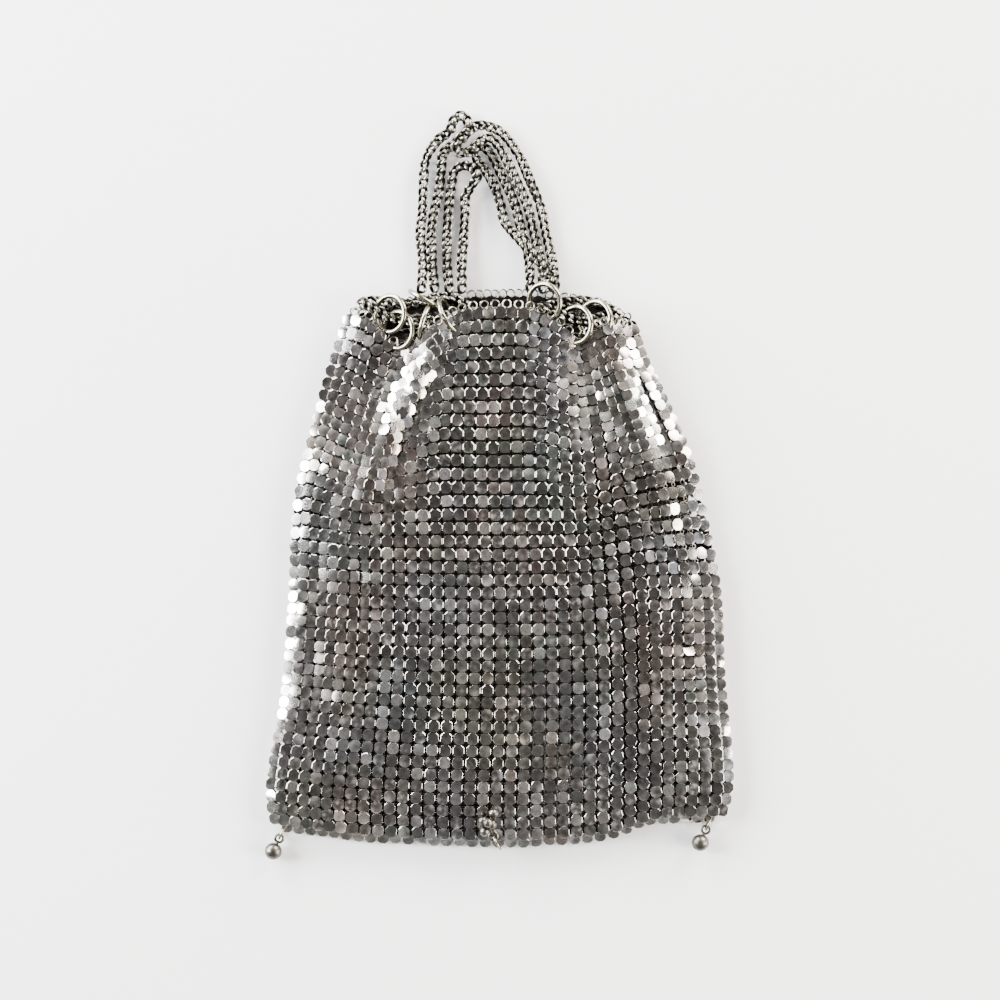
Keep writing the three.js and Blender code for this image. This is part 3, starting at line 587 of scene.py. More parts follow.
def make_piece(name, points, faces, material, slot, values, tints=None, sharp=50):
    """A mesh piece from points on the drawing, riding on the purse. values are the dullness of
    plates or the polish of wire, which on wire also paints highlight and shade, and sharp is the
    angle in degrees from which an edge is crisp."""
    mesh = bpy.data.meshes.new(name)
    mesh.from_pydata(packed(points).tolist(), [], faces)
    mesh.materials.append(material)
    mesh.shade_smooth()
    mesh.set_sharp_from_angle(angle=math.radians(sharp))
    wear_and_shade = mesh.attributes.new("wear_and_shade", "FLOAT", "POINT")
    wear_and_shade.data.foreach_set("value", np.asarray(values))
    if tints is not None:
        tint = mesh.attributes.new("tint", "FLOAT_COLOR", "POINT")
        rgba = np.ones((len(points), 4))
        rgba[:, :3] = tints
        tint.data.foreach_set("color", rgba.ravel())
    piece = add_object(name, mesh)
    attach(piece, "root")
    return piece


def joined(parts):
    """Joins (points, faces, values) parts into one."""
    points = np.concatenate([p for p, _, _ in parts])
    values = np.concatenate([v for _, _, v in parts])
    faces = []
    start = 0
    for part_points, part_faces, _ in parts:
        faces += [[start + i for i in face] for face in part_faces]
        start += len(part_points)
    return points, faces, values


def loop_tube(centres, ups, radius, sides):
    """A closed tube round a loop of centres. Its value is low on the inside of the loop, which
    paints shade there.
    """
    centres = np.asarray(centres)
    middle = centres.mean(axis=0)
    count = len(centres)
    points = []
    values = []
    for i, centre in enumerate(centres):
        along = unit(centres[(i + 1) % count] - centres[i - 1])
        up = unit(ups[i] - np.dot(ups[i], along) * along)
        out = np.cross(along, up)
        if np.dot(out, centre - middle) < 0:
            out = -out
        for k in range(sides):
            angle = 2 * math.pi * (k + 0.5) / sides
            points.append(centre + radius * (math.cos(angle) * out + math.sin(angle) * up))
            values.append(TUBE_POLISH_AND_SHADE[0] + TUBE_POLISH_AND_SHADE[1] * math.cos(angle))
    faces = []
    for i in range(count):
        j = (i + 1) % count
        for k in range(sides):
            m = (k + 1) % sides
            faces.append([i * sides + k, i * sides + m, j * sides + m, j * sides + k])
    first = np.cross(points[1] - points[0], points[sides] - points[0])
    if np.dot(first, points[0] - centres[0]) > 0:
        faces = [face[::-1] for face in faces]
    return np.array(points), faces, np.array(values)


def wire_ring(centre, normal, radius, wire, segments, sides, start=0.0):
    """A round wire ring about a centre, its axis along normal."""
    normal = unit(np.asarray(normal, float))
    a, b = square_axes(normal)
    angles = start + 2 * math.pi * np.arange(segments) / segments
    centres = [centre + radius * (math.cos(t) * a + math.sin(t) * b) for t in angles]
    return loop_tube(centres, [normal] * segments, wire / 2, sides)


def heading_normal(heading, lean=0.0):
    """The axis of a ring that faces along X, leaned over and then turned about Z, in degrees."""
    lean = math.radians(lean)
    turn = math.radians(heading)
    flat = math.cos(lean)
    return np.array([flat * math.cos(turn), flat * math.sin(turn), math.sin(lean)])


def ball(centre, radius, segments=20, rows=12, seam=0.0):
    """A ball with an optional raised seam round its middle."""
    points = [centre + np.array([0, 0, radius])]
    for j in range(1, rows):
        polar = math.pi * j / rows
        swell = 1 + seam * math.exp(-((polar - math.pi / 2) / SEAM_SPREAD) ** 2)
        for i in range(segments):
            turn = 2 * math.pi * i / segments
            flat = math.sin(polar) * swell
            out = np.array([flat * math.cos(turn), flat * math.sin(turn), math.cos(polar)])
            points.append(centre + radius * out)
    points.append(centre - np.array([0, 0, radius]))
    faces = [[0, 1 + i, 1 + (i + 1) % segments] for i in range(segments)]
    for j in range(rows - 2):
        for i in range(segments):
            a = 1 + j * segments + i
            b = 1 + j * segments + (i + 1) % segments
            faces.append([a, a + segments, b + segments, b])
    last = len(points) - 1
    base = 1 + (rows - 2) * segments
    faces += [[last, base + (i + 1) % segments, base + i] for i in range(segments)]
    # Painted highlight and shade: the lower half is darker and the top lighter.
    low, rise = BALL_POLISH_AND_SHADE
    values = [low + rise * max(0.0, (p[2] - centre[2]) / radius) for p in points]
    return np.array(points), faces, np.array(values)


def stem(start, end, radius, sides=10):
    """A short straight wire between two points."""
    along = unit(end - start)
    a, b = square_axes(along)
    points = []
    for centre in (start, end):
        for k in range(sides):
            t = 2 * math.pi * k / sides
            points.append(centre + radius * (math.cos(t) * a + math.sin(t) * b))
    faces = [[k, (k + 1) % sides, sides + (k + 1) % sides, sides + k] for k in range(sides)]
    faces += [list(range(sides))[::-1], list(range(sides, 2 * sides))]
    return np.array(points), faces, np.full(2 * sides, STEM_POLISH)


# The plate mesh: a grid of corners round the pouch, rows up and columns round.

def row_shares():
    """The share up of each row of corners, with taller rows in the upper half."""
    growth = [smooth(j / PLATE_ROWS, *ROW_CHANGE) for j in range(PLATE_ROWS)]
    pitches = [mix(ROW_PITCH_LOW, ROW_PITCH_HIGH, share) for share in growth]
    rows = FIRST_ROW + np.concatenate([[0.0], np.cumsum(pitches)])
    reach = rows[-1] - FIRST_ROW
    rows = FIRST_ROW + (rows - FIRST_ROW) * (BODY_LENGTH - FIRST_ROW) / reach
    return rows / BODY_LENGTH


shares = row_shares()
grid_front = np.array([[front_point(c, v) for c in range(PLATE_COLUMNS + 1)] for v in shares])
grid_right = np.array(
    [[side_point(v, 1, k / SIDE_COLUMNS) for k in range(SIDE_COLUMNS + 1)] for v in shares]
)
grid_left = np.array(
    [[side_point(v, -1, 1 - k / SIDE_COLUMNS) for k in range(SIDE_COLUMNS + 1)] for v in shares]
)
grid_back = np.array(
    [[back_point(1 - 2 * c / PLATE_COLUMNS, v) for c in range(PLATE_COLUMNS + 1)] for v in shares]
)


# Levels of a plate from its underside to the edge of its crown: inset, height as a share of the
# thickness, extra inset at the cut corners, polish, which also sets painted shade (darkest on the
# underside and sides, lighter on the rubbed rim), and share of the crown.
PLATE_LEVELS = [
    (0.05, -0.5, 0.0, 0.0, 0.0),
    (0.0, 0.0, 0.0, 0.3, 0.0),
    (0.05, 0.36, 0.02, 0.75, 0.0),
    (0.12, 0.5, 0.05, 0.7, 0.0),
    (0.8, 0.5, 0.1, 0.5, 0.75),
]
MIDDLE_POLISH = 0.45
# How far in the middle of a cut corner lies, as a share of PLATE_CORNER. A plain cut is at 0.5.
CORNER_ROUND = 0.46
# Stations of a prong: reach past the corner, height as a share of the thickness, and polish,
# which falls as the prong bends down and so paints shade on it.
PRONG_PATH = [(-0.04, 0.0, 0.4), (0.12, -0.2, 0.3), (0.24, -0.9, 0.1), (0.2, -1.9, 0.0)]
PRONG_HALF_WIDTH = 0.17
PRONG_TAPER = 0.02


def plate_template(full):
    """One plate about the origin: an octagon with a slightly crowned face and a bevelled rim. A
    full one has four corner prongs that bend down to the link rings, any other a closed underside
    painted dark as painted shade. The last two arrays are how polished each point is, which also
    sets its painted shade, and how far the face's crown lifts it."""
    a = PLATE_WIDTH / 2
    b = PLATE_HEIGHT / 2
    c = PLATE_CORNER
    bulge = CORNER_ROUND * c
    corner = [(a, b - c), (a - bulge, b - bulge), (a - c, b)]
    outline = []
    for sign_x, sign_y, order in ((1, 1, 1), (-1, 1, -1), (-1, -1, 1), (1, -1, -1)):
        outline += [(sign_x * x, sign_y * y) for x, y in corner[::order]]
    middles = [1, 4, 7, 10]
    points = []
    polish_and_shade = []
    crown = []
    for inset, height, corner_inset, bright, share in PLATE_LEVELS:
        for i, (x, y) in enumerate(outline):
            length = math.hypot(x, y)
            scale = (length - inset - (corner_inset if i in middles else 0.0)) / length
            points.append((x * scale, y * scale, height * PLATE_THICKNESS))
            polish_and_shade.append(bright)
            crown.append(share)
    points.append((0.0, 0.0, 0.5 * PLATE_THICKNESS))
    polish_and_shade.append(MIDDLE_POLISH)
    crown.append(1.0)
    count = len(outline)
    faces = []
    for k in range(len(PLATE_LEVELS) - 1):
        for i in range(count):
            j = (i + 1) % count
            faces.append([k * count + i, k * count + j, (k + 1) * count + j, (k + 1) * count + i])
    top = (len(PLATE_LEVELS) - 1) * count
    faces += [[top + i, top + (i + 1) % count, top + count] for i in range(count)]
    # A plate without prongs is closed underneath; its underside takes the darkest painted shade.
    if not full:
        faces.append(list(range(count))[::-1])
    else:
        for i in middles:
            out = unit(np.array(outline[i]))
            across = np.array([-out[1], out[0]])
            start = len(points)
            for k, (reach, height, bright) in enumerate(PRONG_PATH):
                base = np.array(outline[i]) + out * reach
                for side in (-1, 1):
                    p = base + side * (PRONG_HALF_WIDTH - PRONG_TAPER * k) * across
                    points.append((p[0], p[1], height * PLATE_THICKNESS))
                    polish_and_shade.append(bright)
                    crown.append(0.0)
            for k in range(len(PRONG_PATH) - 1):
                s = start + 2 * k
                faces.append([s, s + 2, s + 3, s + 1])
    return np.array(points), faces, np.array(polish_and_shade), np.array(crown)


# The lattice of random values: its cells to a side, and how far left of the drawing's origin and
# below it the lattice starts.
LATTICE_CELLS = 40
LATTICE_LEFT = 150
LATTICE_BELOW = 60


def patchy(x, y, size, seed):
    """A smooth random value from 0 to 1 over the purse, its patches of a size in millimetres."""
    lattice = np.random.default_rng(seed).random((LATTICE_CELLS, LATTICE_CELLS))
    gx = (x + LATTICE_LEFT) / size
    gy = (y + LATTICE_BELOW) / size
    i, j = int(gx), int(gy)
    tx, ty = smooth(gx - i, 0, 1), smooth(gy - j, 0, 1)
    low = mix(lattice[j, i], lattice[j, i + 1], tx)
    high = mix(lattice[j + 1, i], lattice[j + 1, i + 1], tx)
    return mix(low, high, ty)


def plate_places(grid, seed, flat=False):
    """The middle and axes of every plate of a grid. Where the mesh is gathered closer than a
    plate is wide, the plates lean like shingles and every other one sinks below the rest. flat,
    for the back, leaves out the steps, the patches and the odd plates."""
    rng = np.random.default_rng(seed)
    places = []
    rows, columns = grid.shape[0] - 1, grid.shape[1] - 1
    least = math.cos(math.radians(MOST_LEAN))
    for j in range(rows):
        for i in range(columns):
            a, b = grid[j, i], grid[j, i + 1]
            c, d = grid[j + 1, i], grid[j + 1, i + 1]
            middle = (a + b + c + d) / 4
            across = (b + d - a - c) / 2
            up = (c + d - a - b) / 2
            wide = np.linalg.norm(across)
            tall = np.linalg.norm(up)
            n = unit(np.cross(across, up))
            if n[2] > 0 and not flat:
                n = unit(mix(n, UP, STEP_SHARE))
            u = unit(across - np.dot(across, n) * n)
            w = np.cross(n, u)
            lean = math.acos(min(1.0, max(least, wide / (PLATE_WIDTH + PLATE_PLAY))))
            tuck = math.acos(min(1.0, max(least, tall / (PLATE_HEIGHT + PLATE_PLAY))))
            loose = BACK_LOOSENESS if flat else 1.0
            lean = math.copysign(lean, i + 0.5 - columns / 2) + rng.normal(0, PLATE_TILT) * loose
            tuck = -tuck + rng.normal(0, PLATE_TILT) * loose
            if not flat:
                x, y, _ = middle
                lean += PATCH_TILT * (patchy(x, y * PATCH_STRETCH, PATCH_LENGTH, seed=61) - 0.5)
                tuck += PATCH_TILT * (patchy(x, y * PATCH_STRETCH, PATCH_LENGTH, seed=62) - 0.5)
            sink = (i % 2) * smooth(wide / PLATE_WIDTH, *SINK_ACROSS)
            sink = max(sink, (j % 2) * smooth(tall / PLATE_HEIGHT, *SINK_UP))
            middle = middle - n * sink * SINK
            if rng.random() < ODD_SHARE and not flat:
                lean += rng.normal(0, ODD_TILT)
                tuck += rng.normal(0, ODD_TILT)
            u, n = turned(u, w, lean), turned(n, w, lean)
            w, n = turned(w, u, tuck), turned(n, u, tuck)
            spin = rng.normal(0, PLATE_SPIN)
            u, w = turned(u, n, spin), turned(w, n, spin)
            places.append((middle, np.array([u, w, n])))
    return places


# Finishes of single plates: share of plates, brightness of the metal, dullness.
PLATE_FINISHES = [
    (0.42, 1.0, 0.09),
    (0.20, 0.8, 0.13),
    (0.14, 0.56, 0.2),
    (0.16, 1.25, 0.07),
    (0.08, 1.4, 0.24),
]
# Casts of the tarnish, each over a patch of the mesh, with a share that is random by plate.
CASTS = ["b9aaa2", "bab9b4", "a5ae9f", "b0978f", "a5abb2"]
CAST_PATCH = 15
CAST_MIX = 0.3
# How far plates bulge, as middle and spread in shares of PLATE_CROWN, and how their brightness
# varies.
CROWN_VARIES = (0.8, 0.7)
BRIGHT_VARIES = 0.05
# Dullness at polish 0 and 1, brightness over polish, which is painted shade on undersides, sides
# and prongs and a lighter rubbed rim, and the limits of both.
DULL_BY_POLISH = (1.1, 0.5)
SHADE_POLISH = [0.0, 0.3, 0.5, 1.0]
SHADE = [0.12, 0.5, 1.0, 1.3]
DULL_LIMITS = (0.02, 0.7)
TINT_LIMITS = (0.01, 0.95)


def plate_piece(name, places, full, seed):
    """Joins one plate at each place into a piece, each with a finish of its own and painted shade on its
    underside, sides and prongs.
    """
    rng = np.random.default_rng(seed)
    points, faces, polish_and_shade, crown = plate_template(full)
    weights = np.array([f[0] for f in PLATE_FINISHES])
    picks = rng.choice(len(PLATE_FINISHES), size=len(places), p=weights / weights.sum())
    casts = np.array([linear(code) for code in CASTS])
    all_points = []
    all_faces = []
    values = []
    tints = []
    for n, (middle, axes) in enumerate(places):
        start = n * len(points)
        crowned = points.copy()
        crowned[:, 2] += crown * PLATE_CROWN * rng.normal(*CROWN_VARIES)
        all_points.append(middle + crowned @ axes)
        all_faces += [[start + i for i in face] for face in faces]
        _, bright, dull = PLATE_FINISHES[picks[n]]
        values.append(dull * mix(*DULL_BY_POLISH, polish_and_shade))
        share = np.array([
            patchy(middle[0], middle[1], CAST_PATCH, seed=90 + k) ** 3 + CAST_MIX * rng.random() ** 2
            for k in range(len(CASTS))
        ])
        cast = (casts * share[:, None]).sum(axis=0) / share.sum()
        colour = cast * bright * (1 + rng.normal(0, BRIGHT_VARIES))
        # Painted shade: the tint is darkened where polish is low, on undersides, sides and prongs.
        shade = np.interp(polish_and_shade, SHADE_POLISH, SHADE)
        tints.append(np.clip(colour[None, :] * shade[:, None], *TINT_LIMITS))
    return make_piece(
        name, np.concatenate(all_points), all_faces, plates_metal, "plate_mesh",
        np.clip(np.concatenate(values), *DULL_LIMITS), np.concatenate(tints), sharp=15,
    )


def link_piece(name, grid, seed):
    """Small wire rings under the corners where four plates meet, darkened as painted shade."""
    rng = np.random.default_rng(seed)
    parts = []
    rows, columns = grid.shape[:2]
    for j in range(1, rows - 1):
        for i in range(1, columns - 1):
            across = grid[j, i + 1] - grid[j, i - 1]
            up = grid[j + 1, i] - grid[j - 1, i]
            normal = unit(np.cross(across, up))
            tilt = normal + LINK_TILT * (rng.random(3) - 0.5)
            centre = grid[j, i] - normal * LINK_DEPTH
            parts.append(wire_ring(centre, tilt, LINK_RADIUS, LINK_WIRE, 9, 4, rng.random()))
    points, faces, values = joined(parts)
    return make_piece(name, points, faces, link_metal, "plate_mesh", values * LINK_POLISH_AND_SHADE)


# The hem row: its plates' offset from the middle of the edge, the direction they face, how far
# both vary, and the spread of the plates' spin in radians.
HEM_UP = 1.3
HEM_OUT = 0.2
HEM_FACES = (-0.5, 0.9)
HEM_UP_VARIES = 0.15
HEM_SIDE_TILT = 0.12
HEM_FACE_VARIES = 0.15
HEM_SPIN = 0.14


def hem_places():
    """The last row, turned under at the bottom edge, each plate a little askew."""
    rng = np.random.default_rng(11)
    places = []
    for i in range(PLATE_COLUMNS):
        front = front_point(i + 0.5, 0)
        back = back_point(2 * (i + 0.5) / PLATE_COLUMNS - 1, 0)
        middle = (front + back) / 2 + np.array([0, HEM_UP + rng.normal(0, HEM_UP_VARIES), HEM_OUT])
        side = front_point(min(i + 1, PLATE_COLUMNS), 0) - front_point(i, 0)
        u = unit(side)
        down, out = HEM_FACES
        n = unit(np.array([rng.normal(0, HEM_SIDE_TILT), down, out + rng.normal(0, HEM_FACE_VARIES)]))
        u = unit(u - np.dot(u, n) * n)
        w = np.cross(n, u)
        spin = rng.normal(0, HEM_SPIN)
        places.append((middle, np.array([turned(u, n, spin), turned(w, n, spin), n])))
    return places


seated_back = grid_back + np.array([0, 0, BACK_SEAT])
front_places = plate_places(grid_front, seed=3)
side_places = plate_places(grid_right, seed=5) + plate_places(grid_left, seed=6)
back_places = plate_places(seated_back, seed=7, flat=True)

front_piece = plate_piece("mesh_front", front_places, full=True, seed=21)
side_piece = plate_piece("mesh_sides", side_places, full=False, seed=22)
back_piece = plate_piece("mesh_back", back_places, full=False, seed=23)
hem_piece = plate_piece("mesh_hem", hem_places(), full=False, seed=24)
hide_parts("mesh_pouch")
front_links = link_piece("mesh_front_links", grid_front, seed=31)
link_piece("mesh_back_links", seated_back, seed=32)


def edge_rings():
    """Small wire rings round the mouth, one at each column of the front and of the back."""
    rng = np.random.default_rng(41)
    parts = []
    for i in range(PLATE_COLUMNS + 1):
        edges = (grid_front[-1, i], grid_back[-1, PLATE_COLUMNS - i])
        for edge, lift in zip(edges, EDGE_RING_LIFTS):
            centre = edge + np.array([0, EDGE_RING_OUT, lift])
            tilt = np.array([rng.normal(0, spread) for spread in EDGE_RING_TILTS] + [1.0])
            parts.append(wire_ring(centre, tilt, EDGE_RING_RADIUS, EDGE_RING_WIRE, 14, 6))
    points, faces, values = joined(parts)
    make_piece("mouth_edge_rings", points, faces, link_metal, "plate_mesh", values)


edge_rings()


# Big rings

def big_rings():
    for name, x, above, lift, turn, lean in RINGS:
        centre = np.array([x, BODY_LENGTH + above, RING_HEIGHT + lift])
        part = wire_ring(centre, heading_normal(turn, lean), RING_RADIUS, RING_WIRE, 56, 12)
        piece = make_piece(f"{name}_wire", *part[:2], ring_metal, "rings", part[2])
        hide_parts(name)


big_rings()


# Chains

def spline(route, closed, per_span=16):
    """Points along a centripetal spline through a route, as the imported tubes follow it."""
    pts = [np.array([x, BODY_LENGTH + above, z], float) for x, above, z in route]
    count = len(pts)
    spans = count if closed else count - 1
    result = []
    for i in range(spans):
        p1 = pts[i]
        p2 = pts[(i + 1) % count]
        p0 = pts[i - 1] if closed or i > 0 else 2 * pts[0] - pts[1]
        p3 = pts[(i + 2) % count] if closed or i + 2 < count else 2 * pts[-1] - pts[-2]
        d0 = math.sqrt(np.linalg.norm(p1 - p0))
        d1 = math.sqrt(np.linalg.norm(p2 - p1))
        d2 = math.sqrt(np.linalg.norm(p3 - p2))
        m1 = ((p1 - p0) / d0 - (p2 - p0) / (d0 + d1) + (p2 - p1) / d1) * d1
        m2 = ((p2 - p1) / d1 - (p3 - p1) / (d1 + d2) + (p3 - p2) / d2) * d1
        for k in range(per_span):
            t = k / per_span
            t2 = t * t
            t3 = t2 * t
            result.append(
                (2 * t3 - 3 * t2 + 1) * p1 + (t3 - 2 * t2 + t) * m1
                + (3 * t2 - 2 * t3) * p2 + (t3 - t2) * m2
            )
    result.append(pts[0] if closed else pts[-1])
    return np.array(result)


def chain_link(middle, along, out):
    """One twisted oval wire link: its length along the chain and its width along out. Its raised
    wire takes a painted highlight and its low parts painted shade."""
    half_length = (LINK_LENGTH - CHAIN_WIRE) / 2
    half_link = (LINK_WIDTH - CHAIN_WIRE) / 2
    segments = 18
    up = np.cross(along, out)
    centres = []
    for k in range(segments):
        t = 2 * math.pi * (k + 0.5) / segments
        x = math.copysign(abs(math.cos(t)) ** LINK_SQUARE, math.cos(t)) * half_length
        y = math.copysign(abs(math.sin(t)) ** LINK_SQUARE, math.sin(t)) * half_link
        centres.append(middle + x * along + y * out + LINK_TWIST * math.sin(2 * t) * up)
    points, faces, _ = loop_tube(centres, [up] * segments, CHAIN_WIRE / 2, 8)
    # Painted highlight on the raised wire, painted shade low down.
    rise = np.abs((points - middle) @ up)
    return points, faces, np.interp(rise, LINK_HEIGHTS, LINK_SHINE)


def chain_piece(name, route, closed, seed):
    """Twisted wire links along a route, each hooked through the last, the chain rolling slowly."""
    rng = np.random.default_rng(seed)
    line = spline(route, closed)
    steps = np.linalg.norm(np.diff(line, axis=0), axis=1)
    reach = np.concatenate([[0.0], np.cumsum(steps)])
    count = round(reach[-1] / LINK_PITCH)
    if closed:
        count += count % 2
    parts = []

    def point_at(distance):
        return np.array([np.interp(distance, reach, line[:, a]) for a in range(3)])

    for k in range(count):
        at = (k + 0.5) * reach[-1] / count
        ahead = point_at(min(at + CHAIN_REACH, reach[-1]))
        behind = point_at(max(at - CHAIN_REACH, 0))
        along = unit(ahead - behind)
        side = unit(np.cross(along, UP))
        roll = CHAIN_ROLL * math.sin(2 * math.pi * at / CHAIN_ROLL_LENGTH + seed)
        angle = roll + rng.normal(0, CHAIN_JITTER)
        parts.append(chain_link(point_at(at), along, turned(side, along, angle)))
    points, faces, values = joined(parts)
    piece = make_piece(f"{name}_links", points, faces, chain_metal, "chain", values)
    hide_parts(name)


chain_piece("draw_chain", DRAW_CHAIN_ROUTE, closed=True, seed=51)
for number, (name, route) in enumerate(HANDLE_ROUTES.items()):
    chain_piece(name, route, closed=False, seed=52 + number)


# Drops

def front_height_at(x, y):
    v = y / BODY_LENGTH
    column = 0.0
    while column < PLATE_COLUMNS and column_x(column, v) < x:
        column += COLUMN_STEP
    return front_point(column, v)[2]


def corner_drops():
    for drop in DROPS:
        angle = math.radians(drop["heading"])
        away = np.array([math.cos(angle), math.sin(angle), 0.0])
        hole = front_point(drop["column"], 0) + np.array([drop["in_x"], drop["in_y"], 0])
        hole[2] = JUMP_RADIUS + JUMP_WIRE / 2
        jump = hole + away * JUMP_RADIUS
        eye = hole + away * 2 * JUMP_RADIUS
        middle = eye + away * (EYE_RADIUS + NECK_LENGTH + DROP_BALL / 2)
        middle[2] = DROP_BALL / 2
        ring = wire_ring(jump, heading_normal(drop["heading"] + 90), JUMP_RADIUS, JUMP_WIRE, 28, 8)
        ring_piece = make_piece(
            f"drop_ring_{drop['name']}_wire", *ring[:2], ring_metal, "rings", ring[2] * DROP_RING_POLISH,
        )
        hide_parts(f"drop_ring_{drop['name']}")
        parts = [
            ball(middle, DROP_BALL / 2, 28, 18, DROP_SEAM),
            stem(eye + away * EYE_RADIUS, middle, NECK_RADIUS),
            wire_ring(eye, UP, EYE_RADIUS, EYE_WIRE, 22, 8),
        ]
        points, faces, values = joined(parts)
        piece = make_piece(
            f"drop_{drop['name']}_ball", points, faces, drop_metal, "drops", values * DROP_POLISH,
        )
        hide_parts(f"drop_{drop['name']}")


def middle_drop():
    x, up = GRAPE["x"], GRAPE["up"]
    under = max(front_height_at(x, up), front_height_at(x, up + GRAPE["top"]))
    centre = np.array([x, up, under + GRAPE_BALL / 2 + SEAT])
    eye = np.array([x + GRAPE["eye_x"], up + GRAPE["eye_up"], 0.0])
    eye[2] = front_height_at(eye[0], eye[1]) + EYE_RADIUS
    angle = math.radians(GRAPE_RING["heading"])
    rise = math.radians(GRAPE_RING["rise"])
    reach = GRAPE_RING["radius"] * math.cos(rise)
    at = eye + np.array([reach * math.cos(angle), reach * math.sin(angle), 0])
    at[2] -= GRAPE_RING["radius"] * math.sin(rise)
    axis = heading_normal(GRAPE_RING["heading"] + 90)
    ring = wire_ring(at, axis, GRAPE_RING["radius"], JUMP_WIRE, 28, 8)
    ring_piece = make_piece("drop_ring_middle_wire", *ring[:2], ring_metal, "rings", ring[2])
    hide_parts("drop_ring_middle")
    edge = mix(eye, centre, EYE_RADIUS / np.linalg.norm(centre - eye))
    parts = [
        wire_ring(eye, UP, EYE_RADIUS, EYE_WIRE, 22, 8),
        stem(edge, centre, GRAPE_NECK_RADIUS),
    ]
    for place in GRAPE_BALLS:
        offset = np.array([place["right"], place["up"], place["out"]])
        middle = centre + offset * GRAPE_SWELL + np.array([0, 0, GRAPE_LIFT])
        parts.append(ball(middle, GRAPE_BALL * GRAPE_SWELL / 2, 18, 12, GRAPE_SEAM))
        parts.append(stem(centre, middle, GRAPE_STEM_RADIUS))
    points, faces, values = joined(parts)
    piece = make_piece(
        "drop_middle_bunch", points, faces, drop_metal, "drops", values * DROP_POLISH,
    )
    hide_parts("drop_middle")


corner_drops()
middle_drop()


# Studio: a pale floor, soft lamps at the sides and a light surround with a patchy ceiling.

# Half the side of the floor and the gap under the purse, in metres.
FLOOR_REACH = 3.0
FLOOR_GAP = 0.0002


def studio_floor():
    mesh = bpy.data.meshes.new("floor")
    z = float(shift[2]) - FLOOR_GAP
    signs = [(-1, -1), (1, -1), (1, 1), (-1, 1)]
    corners = [(sx * FLOOR_REACH, sy * FLOOR_REACH, z) for sx, sy in signs]
    mesh.from_pydata(corners, [], [[0, 1, 2, 3]])
    mesh.materials.append(pale_floor())
    floor = add_object("floor", mesh)


def soft_lamp(name, place, size, power, colour):
    """A rectangular area lamp that faces the middle of the purse. place and size in metres."""
    light = bpy.data.lights.new(name, "AREA")
    light.shape = "RECTANGLE"
    light.size, light.size_y = size
    light.energy = power
    light.color = linear(colour)
    lamp = add_object(name, light)
    lamp.location = place
    lamp.rotation_euler = (-Vector(place)).to_track_quat("-Z", "Y").to_euler()


# The surround's colour and strength, then its panels: direction, inner and outer spread in
# degrees, colour and strength.
SURROUND_LEVEL = ("c4c4c2", 1.0)
SURROUND_PANELS = [
    ((-0.5, 0.7, 0.5), 8, 22, "ffffff", 0.7),
    ((0.5, 0.7, 0.5), 8, 22, "fffaf2", 0.7),
    ((0.53, 0.04, 0.85), 5, 11, "e9f1ff", 1.1),
]
# The ceiling over the purse, a patchwork of dark gaps, dim cloth and pale panels that its mirror
# plates pick up: stops of grey, the size of a patch as a share of its height, and its spread.
CEILING_STOPS = [(0.34, 0.07), (0.42, 0.18), (0.53, 0.3), (0.58, 0.6), (0.65, 1.6)]
CEILING_PATCH = 0.16
CEILING_SPREAD = (52, 68)


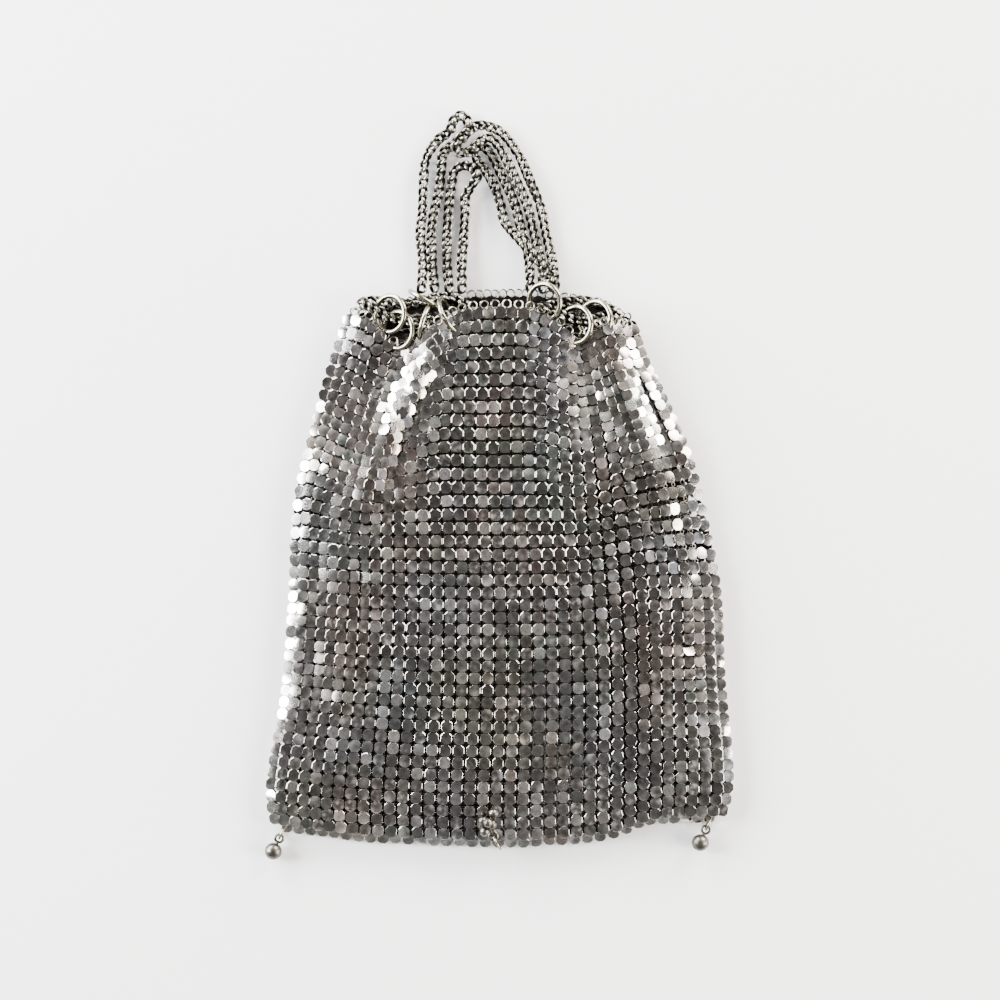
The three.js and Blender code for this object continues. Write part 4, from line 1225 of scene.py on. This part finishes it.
def studio_surround():
    world = bpy.data.worlds.new("surround")
    bpy.context.scene.world = world
    world.use_nodes = True
    tree = world.node_tree
    tree.nodes.clear()
    direction = add_node(tree, "ShaderNodeTexCoord").outputs["Generated"]
    heading = add_node(tree, "ShaderNodeVectorMath", {0: direction}, operation="NORMALIZE").outputs[0]

    def spot(towards, inner, outer):
        dot = add_node(tree, "ShaderNodeVectorMath", {0: heading}, operation="DOT_PRODUCT")
        dot.inputs[1].default_value = unit(np.array(towards)).tolist()
        share = add_node(
            tree, "ShaderNodeMapRange", {"Value": dot.outputs["Value"]},
            interpolation_type="SMOOTHSTEP",
        )
        share.inputs["From Min"].default_value = math.cos(math.radians(outer))
        share.inputs["From Max"].default_value = math.cos(math.radians(inner))
        return share.outputs["Result"]

    code, level = SURROUND_LEVEL
    patches = noise(tree, heading, 1 / CEILING_PATCH, Detail=2.0, Roughness=0.55)
    ceiling = ramp(tree, patches.outputs["Fac"], CEILING_STOPS)
    overhead = add_node(tree, "ShaderNodeMix", data_type="RGBA")
    overhead.inputs[6].default_value = (*[v * level for v in linear(code)], 1)
    tree.links.new(spot((0.0, 0.0, 1.0), *CEILING_SPREAD), overhead.inputs["Factor"])
    tree.links.new(ceiling, overhead.inputs[7])
    total = overhead.outputs[2]
    for towards, inner, outer, code, strength in SURROUND_PANELS:
        glow = add_node(
            tree, "ShaderNodeVectorMath", {0: spot(towards, inner, outer)}, operation="MULTIPLY",
        )
        glow.inputs[1].default_value = [v * strength for v in linear(code)]
        total = add_node(
            tree, "ShaderNodeVectorMath", {0: total, 1: glow.outputs[0]}, operation="ADD",
        ).outputs[0]
    background = add_node(tree, "ShaderNodeBackground", {"Color": total})
    add_node(tree, "ShaderNodeOutputWorld", {"Surface": background.outputs[0]})


def studio_camera():
    """Straight above the purse, at the distance where the frame is as wide as the photograph's."""
    data = bpy.data.cameras.new("camera")
    data.lens = LENS
    data.sensor_width = SENSOR
    camera = add_object("camera", data)
    aim = packed(FRAME_MIDDLE)
    camera.location = (aim[0], aim[1], aim[2] + FRAME_WIDTH * MM * LENS / SENSOR)
    camera.rotation_euler = (0, 0, 0)
    bpy.context.scene.camera = camera


studio_floor()
soft_lamp("left_softbox", (-1.15, 0.25, 0.34), (0.6, 1.0), 104, "f7faff")
soft_lamp("top_left_softbox", (-0.7, 0.95, 0.36), (0.8, 0.5), 60, "ffffff")
soft_lamp("top_right_softbox", (0.75, 0.9, 0.36), (0.8, 0.5), 60, "fffaf4")
soft_lamp("right_fill", (1.15, -0.2, 0.36), (0.7, 1.0), 60, "fffaf2")
studio_surround()
studio_camera()
